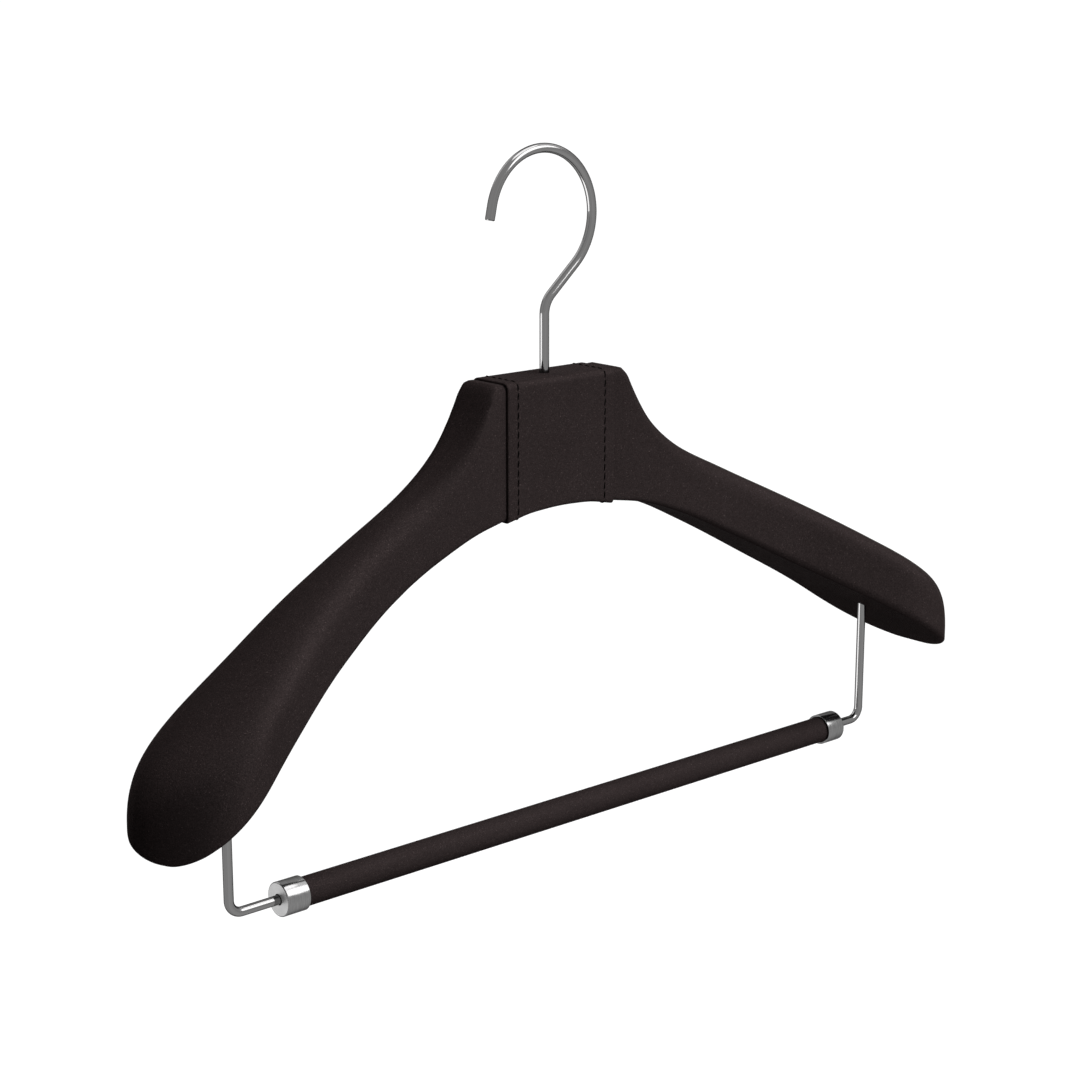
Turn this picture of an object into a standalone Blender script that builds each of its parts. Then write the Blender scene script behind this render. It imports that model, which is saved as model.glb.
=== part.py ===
"""A suit hanger: two wooden arms in leather covers, joined at the neck under a stitched leather
band, with a swivelling steel hook and a leather-covered trouser bar on two bent steel wires.

Metres, +Z up. X runs along the hanger and the front faces -Y. The origin is where a rail carries
the hook: the inside top of its bow, on the axis of the shank.
"""

import math

import bpy
from mathutils import Matrix, Vector

# Clearances
SEAT_GAP = 0.0003
RUNNING_CLEARANCE = 0.0001

# Hook
HOOK_WIRE_DIAMETER = 0.0042
HOOK_BOW_RADIUS = 0.0286
HOOK_BOW_RISE = 0.0672
HOOK_BOW_OFFSET = -0.0012
HOOK_MOUTH_ANGLE = math.radians(180)
HOOK_SLANT = math.radians(41.3)
HOOK_KNEE_RADIUS = 0.0115
HOOK_END_BELOW_NUT = 0.0010

# Neck and the leather on it
BAND_WIDTH = 0.0616
NECK_DEPTH = 0.0234
NECK_HEIGHT = 0.0572
BAND_CORNER_RADIUS = 0.0030
BAND_FOOT_RADIUS = 0.0016
BAND_THICKNESS = 0.0008
COVER_THICKNESS = 0.0012
COVER_CORNER_RADIUS = 0.0026
COVER_FOOT_RADIUS = 0.0010
LEAST_RADIUS = 0.0003

# Arms, over the leather. Each line starts at the edge of the band, where the neck ends, and gives
# how far the surface then lies from the neck's own face at that distance out.
OVERALL_WIDTH = 0.450
CROWN_DROP = (
    (0.0000, 0.0000),
    (0.0020, -0.0006),
    (0.0052, -0.0007),
    (0.0080, 0.0016),
    (0.0106, 0.0066),
    (0.0144, 0.0136),
    (0.0224, 0.0246),
    (0.0392, 0.0379),
    (0.0671, 0.0520),
    (0.1091, 0.0734),
    (0.1464, 0.0949),
    (0.1942, 0.1252),
)
FRONT_SWEEP = (
    (0.0000, 0.0000),
    (0.0100, 0.0016),
    (0.0252, 0.0036),
    (0.0625, 0.0070),
    (0.0998, 0.0175),
    (0.1371, 0.0348),
    (0.1669, 0.0496),
    (0.1942, 0.0592),
)
BACK_SWELL = (
    (0.0000, 0.0000),
    (0.0252, 0.0020),
    (0.0625, 0.0062),
    (0.0998, 0.0054),
    (0.1371, 0.0026),
    (0.1942, 0.0010),
)
# The underside is one arch through the band and both arms: distance from the middle, and drop.
UNDERSIDE_DROP = (
    (-0.0155, 0.0007),
    (0.0000, 0.0000),
    (0.0155, 0.0007),
    (0.0308, 0.0035),
    (0.0466, 0.0061),
    (0.0700, 0.0140),
    (0.0979, 0.0272),
    (0.1399, 0.0499),
    (0.1772, 0.0712),
    (0.2250, 0.1028),
)
SHOULDER_BLEND_LENGTH = 0.0680
FRONT_BLEND_LENGTH = 0.0450
FOOT_BLEND_LENGTH = 0.1200
CROWN_HEIGHT = 0.0278
CROWN_PEAK_SHARE = 0.295
CROWN_SQUARENESS = 2.40
FRONT_FALL = 0.0125
FRONT_SQUARENESS = 2.60
ARM_FOOT_RADIUS = 0.0036
TIP_LENGTH = 0.0430
TIP_PLAN_SQUARENESS = 2.2
TIP_HEIGHT_SQUARENESS = 5.4
TIP_SKEW = 0.0013

# Hook fittings inside the neck
BUSH_WALL = 0.0012
BUSH_LENGTH = 0.0140
WASHER_RIM = 0.0026
WASHER_THICKNESS = 0.0010
NUT_WALL = 0.0011
NUT_HEIGHT = 0.0032
COUNTERBORE_CLEARANCE = 0.0006
COUNTERBORE_SPACE = 0.0027

# Dowels that join the two wooden arms
DOWEL_DIAMETER = 0.0040
DOWEL_LENGTH = 0.0260
DOWEL_BORE_WALL = 0.0007
DOWEL_BELOW_BUSH = 0.0025
DOWEL_ABOVE_NUT = 0.0077
DOWEL_CHAMFER = 0.0004

# Trouser bar and its wires
BAR_WIRE_DIAMETER = 0.0040
BAR_WIRE_INSET = 0.0385
BAR_WIRE_BEND_RADIUS = 0.0060
BAR_WIRE_REACH = 0.0260
BAR_DROP = 0.1908
BAR_FORWARD = 0.0244
BAR_SIDE_SHIFT = 0.0024
BAR_END_SPACE = 0.0209
BAR_DIAMETER = 0.0122
BAR_LEATHER_THICKNESS = 0.0012
FERRULE_WALL = 0.0008
FERRULE_LENGTH = 0.0109
FERRULE_END_WALL = 0.0010
FERRULE_EDGE = 0.0003
BAR_BUSH_WALL = 0.0010
BAR_BUSH_LENGTH = 0.0240
BAR_BUSH_RIM = 0.0013
BAR_BUSH_FLANGE = 0.0010
SOCKET_WALL = 0.0012
SOCKET_LENGTH = 0.0170
SOCKET_HEADROOM = 0.0010

# Facets
NECK_STATIONS = 3
ARM_STATIONS = (0.0030, 0.0048, 0.0062, 0.0076, 0.0092, 0.0112, 0.0140, 0.0180, 0.0230, 0.0300)
ARM_STATIONS += (0.0400, 0.0530, 0.0680, 0.0840, 0.1000, 0.1160, 0.1320)
TIP_STATIONS = 8
TIP_APPROACH = 0.0060
TIP_END_SHARE = 0.985
CROWN_MOST_SHARE = 0.9
FOOT_MOST_SHARE = 0.48
PLAN_STEP = 0.0001
ROUND = 2
CROWN_POINTS = 8
FOOT_POINTS = 4
ROUND_STEPS = 32
HIDDEN_STEPS = 24
BEND_STEP = math.radians(9)
WIRE_RESOLUTION = 5
CUT_MARGIN = 0.0040
DOWEL_STEPS = 16

# Places that follow from the sizes above
HOOK_INNER_RADIUS = HOOK_BOW_RADIUS - HOOK_WIRE_DIAMETER / 2
RAIL_SEAT_RISE = math.sqrt(HOOK_INNER_RADIUS**2 - HOOK_BOW_OFFSET**2)
NECK_TOP = -HOOK_BOW_RISE - RAIL_SEAT_RISE
BAND_EDGE = BAND_WIDTH / 2
COVER_INSET = BAND_THICKNESS + SEAT_GAP
CORE_INSET = COVER_THICKNESS + SEAT_GAP
COVER_TOP = NECK_TOP - COVER_INSET
COVER_FOOT = NECK_TOP - NECK_HEIGHT + COVER_INSET
COVER_HALF_DEPTH = NECK_DEPTH / 2 - COVER_INSET
ARM_TIP = OVERALL_WIDTH / 2
CORE_TOP = COVER_TOP - CORE_INSET
CORE_FOOT = COVER_FOOT + CORE_INSET
MIDDLE_GAP = SEAT_GAP / 2
HOOK_RADIUS = HOOK_WIRE_DIAMETER / 2
SHANK_BORE_RADIUS = HOOK_RADIUS + SEAT_GAP
BUSH_RADIUS = HOOK_RADIUS + RUNNING_CLEARANCE + BUSH_WALL
WASHER_RADIUS = SHANK_BORE_RADIUS + WASHER_RIM
HOOK_END = CORE_FOOT + COUNTERBORE_SPACE
NUT_TOP = HOOK_END + HOOK_END_BELOW_NUT + NUT_HEIGHT
WASHER_TOP = NUT_TOP + SEAT_GAP + WASHER_THICKNESS
COUNTERBORE_TOP = WASHER_TOP + SEAT_GAP
DOWEL_OFFSET = SHANK_BORE_RADIUS + DOWEL_BORE_WALL + SEAT_GAP + DOWEL_DIAMETER / 2
DOWEL_FRONT_Z = CORE_TOP - BUSH_LENGTH - DOWEL_BELOW_BUSH - DOWEL_DIAMETER / 2
DOWEL_BACK_Z = COUNTERBORE_TOP + DOWEL_ABOVE_NUT + DOWEL_DIAMETER / 2
BAR_Y = -BAR_FORWARD
BAR_Z = NECK_TOP - BAR_DROP
BAR_WIRE_X = ARM_TIP - BAR_WIRE_INSET
BAR_WIRE_RADIUS = BAR_WIRE_DIAMETER / 2
SOCKET_RADIUS = BAR_WIRE_RADIUS + SEAT_GAP + SOCKET_WALL
BAR_HALF_LENGTH = BAR_WIRE_X - BAR_END_SPACE
FLANGE_TOP = BAR_HALF_LENGTH - FERRULE_END_WALL - SEAT_GAP
BAR_CORE_HALF = FLANGE_TOP - BAR_BUSH_FLANGE - SEAT_GAP
BAR_CORE_RADIUS = BAR_DIAMETER / 2 - BAR_LEATHER_THICKNESS - SEAT_GAP
BAR_BUSH_RADIUS = BAR_WIRE_RADIUS + RUNNING_CLEARANCE + BAR_BUSH_WALL


def clear_scene():
    for obj in list(bpy.data.objects):
        bpy.data.objects.remove(obj, do_unlink=True)


def make_collection(name, helper=False):
    collection = bpy.data.collections.new(name)
    bpy.context.scene.collection.children.link(collection)
    collection.hide_render = helper
    return collection


def make_material(name, colour, roughness, metallic=0.0):
    material = bpy.data.materials.new(name)
    material.use_nodes = True
    shader = material.node_tree.nodes["Principled BSDF"]
    shader.inputs["Base Color"].default_value = (*colour, 1.0)
    shader.inputs["Roughness"].default_value = roughness
    shader.inputs["Metallic"].default_value = metallic
    material.diffuse_color = (*colour, 1.0)
    return material


clear_scene()
PARTS = make_collection("suit_hanger")
CUTTERS = make_collection("cutters", helper=True)
LEATHER = make_material("black_brown_leather", (0.024, 0.018, 0.018), 0.55)
WOOD = make_material("beech_wood", (0.52, 0.33, 0.17), 0.60)
STEEL = make_material("polished_steel", (0.55, 0.55, 0.56), 0.22, 1.0)
BRASS = make_material("brass", (0.72, 0.52, 0.22), 0.35, 1.0)
NYLON = make_material("white_nylon", (0.75, 0.74, 0.70), 0.45)


def add_object(name, data, material, collection=PARTS):
    obj = bpy.data.objects.new(name, data)
    collection.objects.link(obj)
    if material:
        data.materials.append(material)
    return obj


def shade_round(mesh, sharp_angle=math.radians(32)):
    mesh.shade_smooth()
    mesh.set_sharp_from_angle(angle=sharp_angle)


def turned(name, profile, material, closed=True, steps=ROUND_STEPS):
    """A solid turned about its own Z axis. The profile lies at +X and runs down its outer side."""
    count = len(profile)
    edges = [(i, i + 1) for i in range(count - 1)]
    if closed:
        edges.append((count - 1, 0))
    mesh = bpy.data.meshes.new(name)
    mesh.from_pydata([(radius, 0.0, height) for radius, height in profile], edges, [])
    obj = add_object(name, mesh, material)
    screw = obj.modifiers.new("turn", "SCREW")
    screw.axis = "Z"
    screw.angle = math.tau
    screw.steps = steps
    screw.render_steps = steps
    screw.use_merge_vertices = True
    screw.merge_threshold = 0.000001
    return obj


def sleeve_profile(outer, inner, top, length):
    return [(outer, top), (outer, top - length), (inner, top - length), (inner, top)]


def wire(name, points, radius, material):
    """A round wire along a list of points, with flat ends."""
    curve = bpy.data.curves.new(name, "CURVE")
    curve.dimensions = "3D"
    curve.bevel_depth = radius
    curve.bevel_resolution = WIRE_RESOLUTION
    curve.use_fill_caps = True
    spline = curve.splines.new("POLY")
    spline.points.add(len(points) - 1)
    for point, place in zip(spline.points, points):
        point.co = (*place, 1.0)
    return add_object(name, curve, material)


def cylinder(name, radius, start, end, steps=ROUND_STEPS):
    """A closed cylinder between two points, as a mesh object in the cutters' collection."""
    start, end = Vector(start), Vector(end)
    run = end - start
    bpy.ops.mesh.primitive_cylinder_add(vertices=steps, radius=radius, depth=run.length)
    obj = bpy.context.object
    obj.name = name
    turn = run.to_track_quat("Z", "Y").to_matrix().to_4x4()
    obj.matrix_world = Matrix.Translation((start + end) / 2) @ turn
    for collection in list(obj.users_collection):
        collection.objects.unlink(obj)
    CUTTERS.objects.link(obj)
    obj.hide_render = True
    obj.display_type = "WIRE"
    return obj


def cut(target, cutter):
    boolean = target.modifiers.new("cut_" + cutter.name, "BOOLEAN")
    boolean.operation = "DIFFERENCE"
    boolean.solver = "EXACT"
    boolean.object = cutter


def into_parts(obj, material):
    """Makes a part of a cylinder that was built as a helper."""
    CUTTERS.objects.unlink(obj)
    PARTS.objects.link(obj)
    obj.hide_render = False
    obj.display_type = "TEXTURED"
    obj.data.materials.append(material)
    return obj


def arc(centre, radius, start, end):
    """Points (x, z) along an arc, both ends included. Angles are from +X towards +Z."""
    count = max(2, math.ceil(abs(end - start) / BEND_STEP))
    angles = [start + (end - start) * i / count for i in range(count + 1)]
    return [
        (centre[0] + radius * math.cos(angle), centre[1] + radius * math.sin(angle))
        for angle in angles
    ]


def line_at(points, x):
    """Height at x of the smooth line through the points, which never overshoots them."""
    gaps = [b[0] - a[0] for a, b in zip(points, points[1:])]
    rises = [(b[1] - a[1]) / gap for a, b, gap in zip(points, points[1:], gaps)]
    slopes = [rises[0]]
    for i in range(1, len(rises)):
        before, after = rises[i - 1], rises[i]
        if before * after <= 0:
            slopes.append(0.0)
            continue
        near, far = 2 * gaps[i] + gaps[i - 1], gaps[i] + 2 * gaps[i - 1]
        slopes.append((near + far) / (near / before + far / after))
    slopes.append(rises[-1])
    if x >= points[-1][0]:
        return points[-1][1] + slopes[-1] * (x - points[-1][0])
    i = max(k for k in range(len(gaps)) if k == 0 or points[k][0] <= x)
    t = (x - points[i][0]) / gaps[i]
    return (
        points[i][1] * (1 + 2 * t) * (1 - t) ** 2
        + slopes[i] * gaps[i] * t * (1 - t) ** 2
        + points[i + 1][1] * t * t * (3 - 2 * t)
        + slopes[i + 1] * gaps[i] * t * t * (t - 1)
    )


def quarter(centre, reach, rise, squareness, count):
    """A quarter of a superellipse, from its side at (reach, 0) to its top at (0, rise)."""
    points = []
    for i in range(count):
        angle = math.pi / 2 * i / (count - 1)
        across = max(0.0, math.cos(angle)) ** (2 / squareness)
        up = max(0.0, math.sin(angle)) ** (2 / squareness)
        points.append((centre[0] + reach * across, centre[1] + rise * up))
    return points


def closing(x, start, end, squareness):
    """1 up to the start of the tip, falling to 0 at its end along a superellipse."""
    share = min(1.0, max(0.0, (x - start) / (end - start)))
    return (1 - share**squareness) ** (1 / squareness)


def ease(x, start, end):
    """0 before start, 1 after end, and smooth between them."""
    share = min(1.0, max(0.0, (x - start) / (end - start)))
    return share * share * (3 - 2 * share)


def arm_section(x, inset):
    """The right arm's section at x, as (y, z) points, all of it set in from the leather's face."""
    out = max(0.0, x - BAND_EDGE)
    blend = ease(out, 0.0, SHOULDER_BLEND_LENGTH)
    front_blend = ease(out, 0.0, FRONT_BLEND_LENGTH)
    top = COVER_TOP - line_at(CROWN_DROP, out) - inset
    foot = COVER_FOOT - line_at(UNDERSIDE_DROP, x) + inset
    front = -COVER_HALF_DEPTH - line_at(FRONT_SWEEP, out) + inset
    back = COVER_HALF_DEPTH + line_at(BACK_SWELL, out) - inset
    tip_start, tip_end = ARM_TIP - TIP_LENGTH, ARM_TIP - inset
    closed = 1 - closing(x, tip_start, tip_end, TIP_PLAN_SQUARENESS)
    middle = (front + back) / 2 + TIP_SKEW * closed
    half = (back - front) / 2 * (1 - closed)
    front, back = middle - half, middle + half
    foot_radius = COVER_FOOT_RADIUS
    foot_radius += (ARM_FOOT_RADIUS - COVER_FOOT_RADIUS) * ease(out, 0.0, FOOT_BLEND_LENGTH)
    end_run = max(0.0, x - (tip_end - foot_radius))
    foot += foot_radius - math.sqrt(max(0.0, foot_radius**2 - end_run**2))
    top = foot + (top - foot) * closing(x, tip_start, tip_end, TIP_HEIGHT_SQUARENESS)

    depth, height = back - front, top - foot
    corner = max(COVER_CORNER_RADIUS - inset, LEAST_RADIUS)
    fall = min(corner + (CROWN_HEIGHT - inset - corner) * blend, CROWN_MOST_SHARE * height)
    front_reach = corner + (CROWN_PEAK_SHARE * depth - corner) * front_blend
    back_reach = corner + ((1 - CROWN_PEAK_SHARE) * depth - corner) * blend
    squareness = ROUND + (CROWN_SQUARENESS - ROUND) * blend
    ridge_fall = FRONT_FALL + (CROWN_HEIGHT - FRONT_FALL) * ease(x, tip_start, tip_end)
    front_fall = min(corner + (ridge_fall - inset - corner) * front_blend, fall)
    front_squareness = ROUND + (FRONT_SQUARENESS - ROUND) * front_blend
    ahead = 1 - closing(x + PLAN_STEP, tip_start, tip_end, TIP_PLAN_SQUARENESS)
    turn = half / max(1 - closed, PLAN_STEP) * (ahead - closed) / PLAN_STEP
    foot_reach = min(foot_radius * math.hypot(1.0, turn), FOOT_MOST_SHARE * depth)
    foot_rise = min(foot_radius, height - fall)

    front_top = (front + front_reach, top - front_fall)
    back_top = (back - back_reach, top - fall)
    front_foot = (front + foot_reach, foot + foot_rise)
    back_foot = (back - foot_reach, foot + foot_rise)
    return (
        quarter(front_top, -front_reach, front_fall, front_squareness, CROWN_POINTS)
        + quarter(back_top, back_reach, fall, squareness, CROWN_POINTS)[::-1]
        + quarter(back_foot, foot_reach, -foot_rise, ROUND, FOOT_POINTS)
        + quarter(front_foot, -foot_reach, -foot_rise, ROUND, FOOT_POINTS)[::-1]
    )


def arm_stations(inset):
    """Distances from the middle at which the arm's sections lie."""
    start = MIDDLE_GAP
    stations = [start + (BAND_EDGE - start) * i / NECK_STATIONS for i in range(NECK_STATIONS + 1)]
    tip_start, tip_end = ARM_TIP - TIP_LENGTH, ARM_TIP - inset
    plain_end = tip_start - TIP_APPROACH
    stations += [BAND_EDGE + out for out in ARM_STATIONS if BAND_EDGE + out < plain_end]
    for i in range(TIP_STATIONS + 1):
        angle = math.pi / 2 * TIP_END_SHARE * i / TIP_STATIONS
        stations.append(tip_start + (tip_end - tip_start) * math.sin(angle))
    return stations


def rings_to_mesh(name, skins, capped):
    """Lofts rings of points into skins. With two skins the first is outside and the second lines
    it, and the two are joined at every end that isn't capped."""
    vertices, faces = [], []
    first_ring, last_ring = [], []
    for depth, rings in enumerate(skins):
        size = len(rings[0])
        base = len(vertices)
        vertices += [point for ring in rings for point in ring]
        for i in range(len(rings) - 1):
            for j in range(size):
                a, b = base + i * size + j, base + i * size + (j + 1) % size
                face = (a, b, b + size, a + size)
                faces.append(face if depth == 0 else face[::-1])
        first_ring.append([base + j for j in range(size)])
        last_ring.append([base + (len(rings) - 1) * size + j for j in range(size)])
    for end, (ring_pair, cap) in enumerate(zip((first_ring, last_ring), capped)):
        flip = end == 1
        if cap:
            for depth, ring in enumerate(ring_pair):
                faces.append(tuple(ring if flip == (depth == 0) else ring[::-1]))
        else:
            outer, inner = ring_pair
            for j in range(len(outer)):
                k = (j + 1) % len(outer)
                face = (outer[j], inner[j], inner[k], outer[k])
                faces.append(face[::-1] if flip else face)
    mesh = bpy.data.meshes.new(name)
    mesh.from_pydata(vertices, [], faces)
    mesh.validate()
    shade_round(mesh)
    return mesh


def arm_rings(side, inset):
    """The sections of one arm as rings of points, in the order that turns their faces outwards."""
    rings = []
    for x in arm_stations(inset):
        ring = [(side * x, y, z) for y, z in arm_section(x, inset)]
        rings.append(ring[::-1] if side > 0 else ring)
    return rings


def make_arm(side, word):
    """One wooden arm and the leather cover on it, with the holes for the hook and the wire."""
    core_mesh = rings_to_mesh("core_" + word, [arm_rings(side, CORE_INSET)], (True, True))
    core = add_object("core_" + word, core_mesh, WOOD)
    skins = [arm_rings(side, 0.0), arm_rings(side, COVER_THICKNESS)]
    cover = add_object("cover_" + word, rings_to_mesh("cover_" + word, skins, (False, True)), LEATHER)
    return core, cover


def make_band():
    """The leather band round the neck, open at both ends, over the inner ends of both covers."""
    skins = []
    for inset in (0.0, BAND_THICKNESS):
        corner = BAND_CORNER_RADIUS - inset
        foot_corner = BAND_FOOT_RADIUS - inset
        half = NECK_DEPTH / 2 - inset
        top = NECK_TOP - inset
        rings = []
        for i in range(2 * NECK_STATIONS + 1):
            x = -BAND_EDGE + BAND_WIDTH * i / (2 * NECK_STATIONS)
            foot = NECK_TOP - NECK_HEIGHT - line_at(UNDERSIDE_DROP, abs(x)) + inset
            front_top, back_top = (-half + corner, top - corner), (half - corner, top - corner)
            front_foot = (-half + foot_corner, foot + foot_corner)
            back_foot = (half - foot_corner, foot + foot_corner)
            section = (
                quarter(front_top, -corner, corner, ROUND, CROWN_POINTS)
                + quarter(back_top, corner, corner, ROUND, CROWN_POINTS)[::-1]
                + quarter(back_foot, foot_corner, -foot_corner, ROUND, FOOT_POINTS)
                + quarter(front_foot, -foot_corner, -foot_corner, ROUND, FOOT_POINTS)[::-1]
            )
            rings.append([(x, y, z) for y, z in section][::-1])
        skins.append(rings)
    band = add_object("neck_band", rings_to_mesh("neck_band", skins, (False, False)), LEATHER)
    hole = cylinder(
        "band_hook_hole",
        SHANK_BORE_RADIUS,
        (0, 0, NECK_TOP - BAND_THICKNESS - SEAT_GAP / 2),
        (0, 0, NECK_TOP + CUT_MARGIN),
    )
    cut(band, hole)


def hook_path():
    """The hook's centre line from its open tip, over the bow and down the shank."""
    centre = (HOOK_BOW_OFFSET, NECK_TOP + HOOK_BOW_RISE)
    bow_end = HOOK_SLANT - math.pi / 2
    bow = arc(centre, HOOK_BOW_RADIUS, HOOK_MOUTH_ANGLE, bow_end)
    leave_x, leave_z = bow[-1]
    knee_z = leave_z - leave_x * math.tan(HOOK_SLANT)
    turn = math.pi / 2 - HOOK_SLANT
    tangent = HOOK_KNEE_RADIUS * math.tan(turn / 2)
    knee_centre = (HOOK_KNEE_RADIUS, knee_z - tangent)
    knee = arc(knee_centre, HOOK_KNEE_RADIUS, math.pi - turn, math.pi)
    return [(x, 0.0, z) for x, z in bow + knee + [(0.0, HOOK_END)]]


def make_hook():
    """The hook, the bush that it turns in, and the washer and nut that hold it in the neck."""
    hook = wire("hook", hook_path(), HOOK_RADIUS, STEEL)
    nut = cylinder(
        "hook_nut",
        (SHANK_BORE_RADIUS + NUT_WALL) / math.cos(math.pi / 6),
        (0, 0, NUT_TOP - NUT_HEIGHT),
        (0, 0, NUT_TOP),
        steps=6,
    )
    into_parts(nut, STEEL)
    nut_bore = cylinder(
        "nut_bore",
        SHANK_BORE_RADIUS,
        (0, 0, NUT_TOP - NUT_HEIGHT - CUT_MARGIN),
        (0, 0, NUT_TOP + CUT_MARGIN),
    )
    cut(nut, nut_bore)
    turned(
        "hook_washer",
        sleeve_profile(WASHER_RADIUS, SHANK_BORE_RADIUS, WASHER_TOP, WASHER_THICKNESS),
        STEEL,
        steps=HIDDEN_STEPS,
    )
    turned(
        "hook_bush",
        sleeve_profile(BUSH_RADIUS, HOOK_RADIUS + RUNNING_CLEARANCE, CORE_TOP, BUSH_LENGTH),
        BRASS,
        steps=HIDDEN_STEPS,
    )
    return [hook, nut]


def make_hook_bores(cores, covers):
    """Bores the neck for the shank, the bush, the washer and the nut."""
    shank = cylinder(
        "shank_bore",
        SHANK_BORE_RADIUS,
        (0, 0, CORE_FOOT),
        (0, 0, COVER_TOP + CUT_MARGIN),
    )
    bush = cylinder(
        "bush_bore",
        BUSH_RADIUS + SEAT_GAP,
        (0, 0, CORE_TOP - BUSH_LENGTH - SEAT_GAP),
        (0, 0, CORE_TOP + CUT_MARGIN),
    )
    counterbore = cylinder(
        "nut_counterbore",
        WASHER_RADIUS + COUNTERBORE_CLEARANCE,
        (0, 0, CORE_FOOT - CUT_MARGIN),
        (0, 0, COUNTERBORE_TOP),
    )
    for core in cores:
        for cutter in (shank, bush, counterbore):
            cut(core, cutter)
    for cover in covers:
        cut(cover, shank)


def make_dowels(cores):
    half = DOWEL_LENGTH / 2
    front = ("front", -DOWEL_OFFSET, DOWEL_FRONT_Z)
    back = ("back", DOWEL_OFFSET, DOWEL_BACK_Z)
    for word, y, z in (front, back):
        radius = DOWEL_DIAMETER / 2
        start, end = (-half, y, z), (half, y, z)
        dowel = cylinder("joint_dowel_" + word, radius, start, end, DOWEL_STEPS)
        into_parts(dowel, WOOD)
        chamfer = dowel.modifiers.new("chamfer", "BEVEL")
        chamfer.width = DOWEL_CHAMFER
        chamfer.limit_method = "ANGLE"
        shade_round(dowel.data)
        reach = half + 2 * SEAT_GAP
        bore_radius = radius + SEAT_GAP
        start, end = (-reach, y, z), (reach, y, z)
        bore = cylinder("dowel_bore_" + word, bore_radius, start, end, DOWEL_STEPS)
        for core in cores:
            cut(core, bore)


def make_bar_wire(side, word, core, cover):
    """One bent wire, and the socket that holds its leg in the arm."""
    leg_x = side * BAR_WIRE_X
    foot = COVER_FOOT - line_at(UNDERSIDE_DROP, BAR_WIRE_X - SOCKET_RADIUS)
    socket_foot = foot + CORE_INSET + SEAT_GAP
    socket_top = socket_foot + SOCKET_LENGTH
    leg_top = socket_top - SOCKET_HEADROOM
    bend_x, bend_z = BAR_WIRE_X - BAR_WIRE_BEND_RADIUS, BAR_Z + BAR_WIRE_BEND_RADIUS
    bend = arc((bend_x, bend_z), BAR_WIRE_BEND_RADIUS, 0.0, -math.pi / 2)
    end_x = BAR_HALF_LENGTH - BAR_WIRE_REACH + side * BAR_SIDE_SHIFT
    path = [(BAR_WIRE_X, leg_top)] + bend + [(end_x, BAR_Z)]
    wire(
        "bar_wire_" + word, [(side * x, BAR_Y, z) for x, z in path], BAR_WIRE_RADIUS, STEEL
    )
    socket = turned(
        "wire_socket_" + word,
        sleeve_profile(SOCKET_RADIUS, BAR_WIRE_RADIUS + SEAT_GAP, 0.0, SOCKET_LENGTH),
        NYLON,
        steps=HIDDEN_STEPS,
    )
    socket.location = (leg_x, BAR_Y, socket_top)
    bore = cylinder(
        "socket_bore_" + word,
        SOCKET_RADIUS + SEAT_GAP,
        (leg_x, BAR_Y, socket_foot - SOCKET_LENGTH / 2),
        (leg_x, BAR_Y, socket_top + SEAT_GAP),
    )
    cut(core, bore)
    hole = cylinder(
        "wire_hole_" + word,
        BAR_WIRE_RADIUS + SEAT_GAP,
        (leg_x, BAR_Y, socket_foot - SOCKET_LENGTH / 2),
        (leg_x, BAR_Y, socket_foot + SOCKET_LENGTH / 2),
    )
    cut(cover, hole)


def make_bar():
    """The trouser bar: a wooden rod in leather, with a bush and a steel ferrule at each end."""
    bore_radius = BAR_BUSH_RADIUS + SEAT_GAP
    bore_end = FLANGE_TOP - BAR_WIRE_REACH - SEAT_GAP
    pieces = [
        turned(
            "bar_core",
            [
                (0.0, bore_end),
                (bore_radius, bore_end),
                (bore_radius, BAR_CORE_HALF),
                (BAR_CORE_RADIUS, BAR_CORE_HALF),
                (BAR_CORE_RADIUS, -BAR_CORE_HALF),
                (bore_radius, -BAR_CORE_HALF),
                (bore_radius, -bore_end),
                (0.0, -bore_end),
            ],
            WOOD,
            closed=False,
        ),
        turned(
            "bar_cover",
            sleeve_profile(
                BAR_DIAMETER / 2,
                BAR_DIAMETER / 2 - BAR_LEATHER_THICKNESS,
                BAR_CORE_HALF,
                2 * BAR_CORE_HALF,
            ),
            LEATHER,
        ),
    ]
    cup = BAR_DIAMETER / 2 + SEAT_GAP
    outer = cup + FERRULE_WALL
    hole = BAR_WIRE_RADIUS + SEAT_GAP
    bush_bore = BAR_WIRE_RADIUS + RUNNING_CLEARANCE
    flange_radius = BAR_BUSH_RADIUS + BAR_BUSH_RIM
    for side, word in ((-1, "left"), (1, "right")):
        ferrule = turned(
            "ferrule_" + word,
            [
                (hole, 0.0),
                (outer - FERRULE_EDGE, 0.0),
                (outer, -FERRULE_EDGE),
                (outer, -FERRULE_LENGTH + FERRULE_EDGE),
                (outer - FERRULE_EDGE, -FERRULE_LENGTH),
                (cup, -FERRULE_LENGTH),
                (cup, -FERRULE_END_WALL),
                (hole, -FERRULE_END_WALL),
            ],
            STEEL,
        )
        ferrule.location.z = BAR_HALF_LENGTH
        bush = turned(
            "bar_bush_" + word,
            [
                (flange_radius, 0.0),
                (flange_radius, -BAR_BUSH_FLANGE),
                (BAR_BUSH_RADIUS, -BAR_BUSH_FLANGE),
                (BAR_BUSH_RADIUS, -BAR_BUSH_LENGTH),
                (bush_bore, -BAR_BUSH_LENGTH),
                (bush_bore, 0.0),
            ],
            NYLON,
            steps=HIDDEN_STEPS,
        )
        bush.location.z = FLANGE_TOP
        for piece in (ferrule, bush):
            if side < 0:
                piece.rotation_euler = (math.pi, 0.0, 0.0)
                piece.location.z *= -1
            pieces.append(piece)
    return pieces


def make_axis(name, place, rotation=(0.0, 0.0, 0.0)):
    """An empty on a joint's axis, which carries the pieces that turn about it."""
    axis = bpy.data.objects.new(name, None)
    axis.location = place
    axis.rotation_euler = rotation
    axis.empty_display_size = 0.02
    PARTS.objects.link(axis)
    return axis


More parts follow.
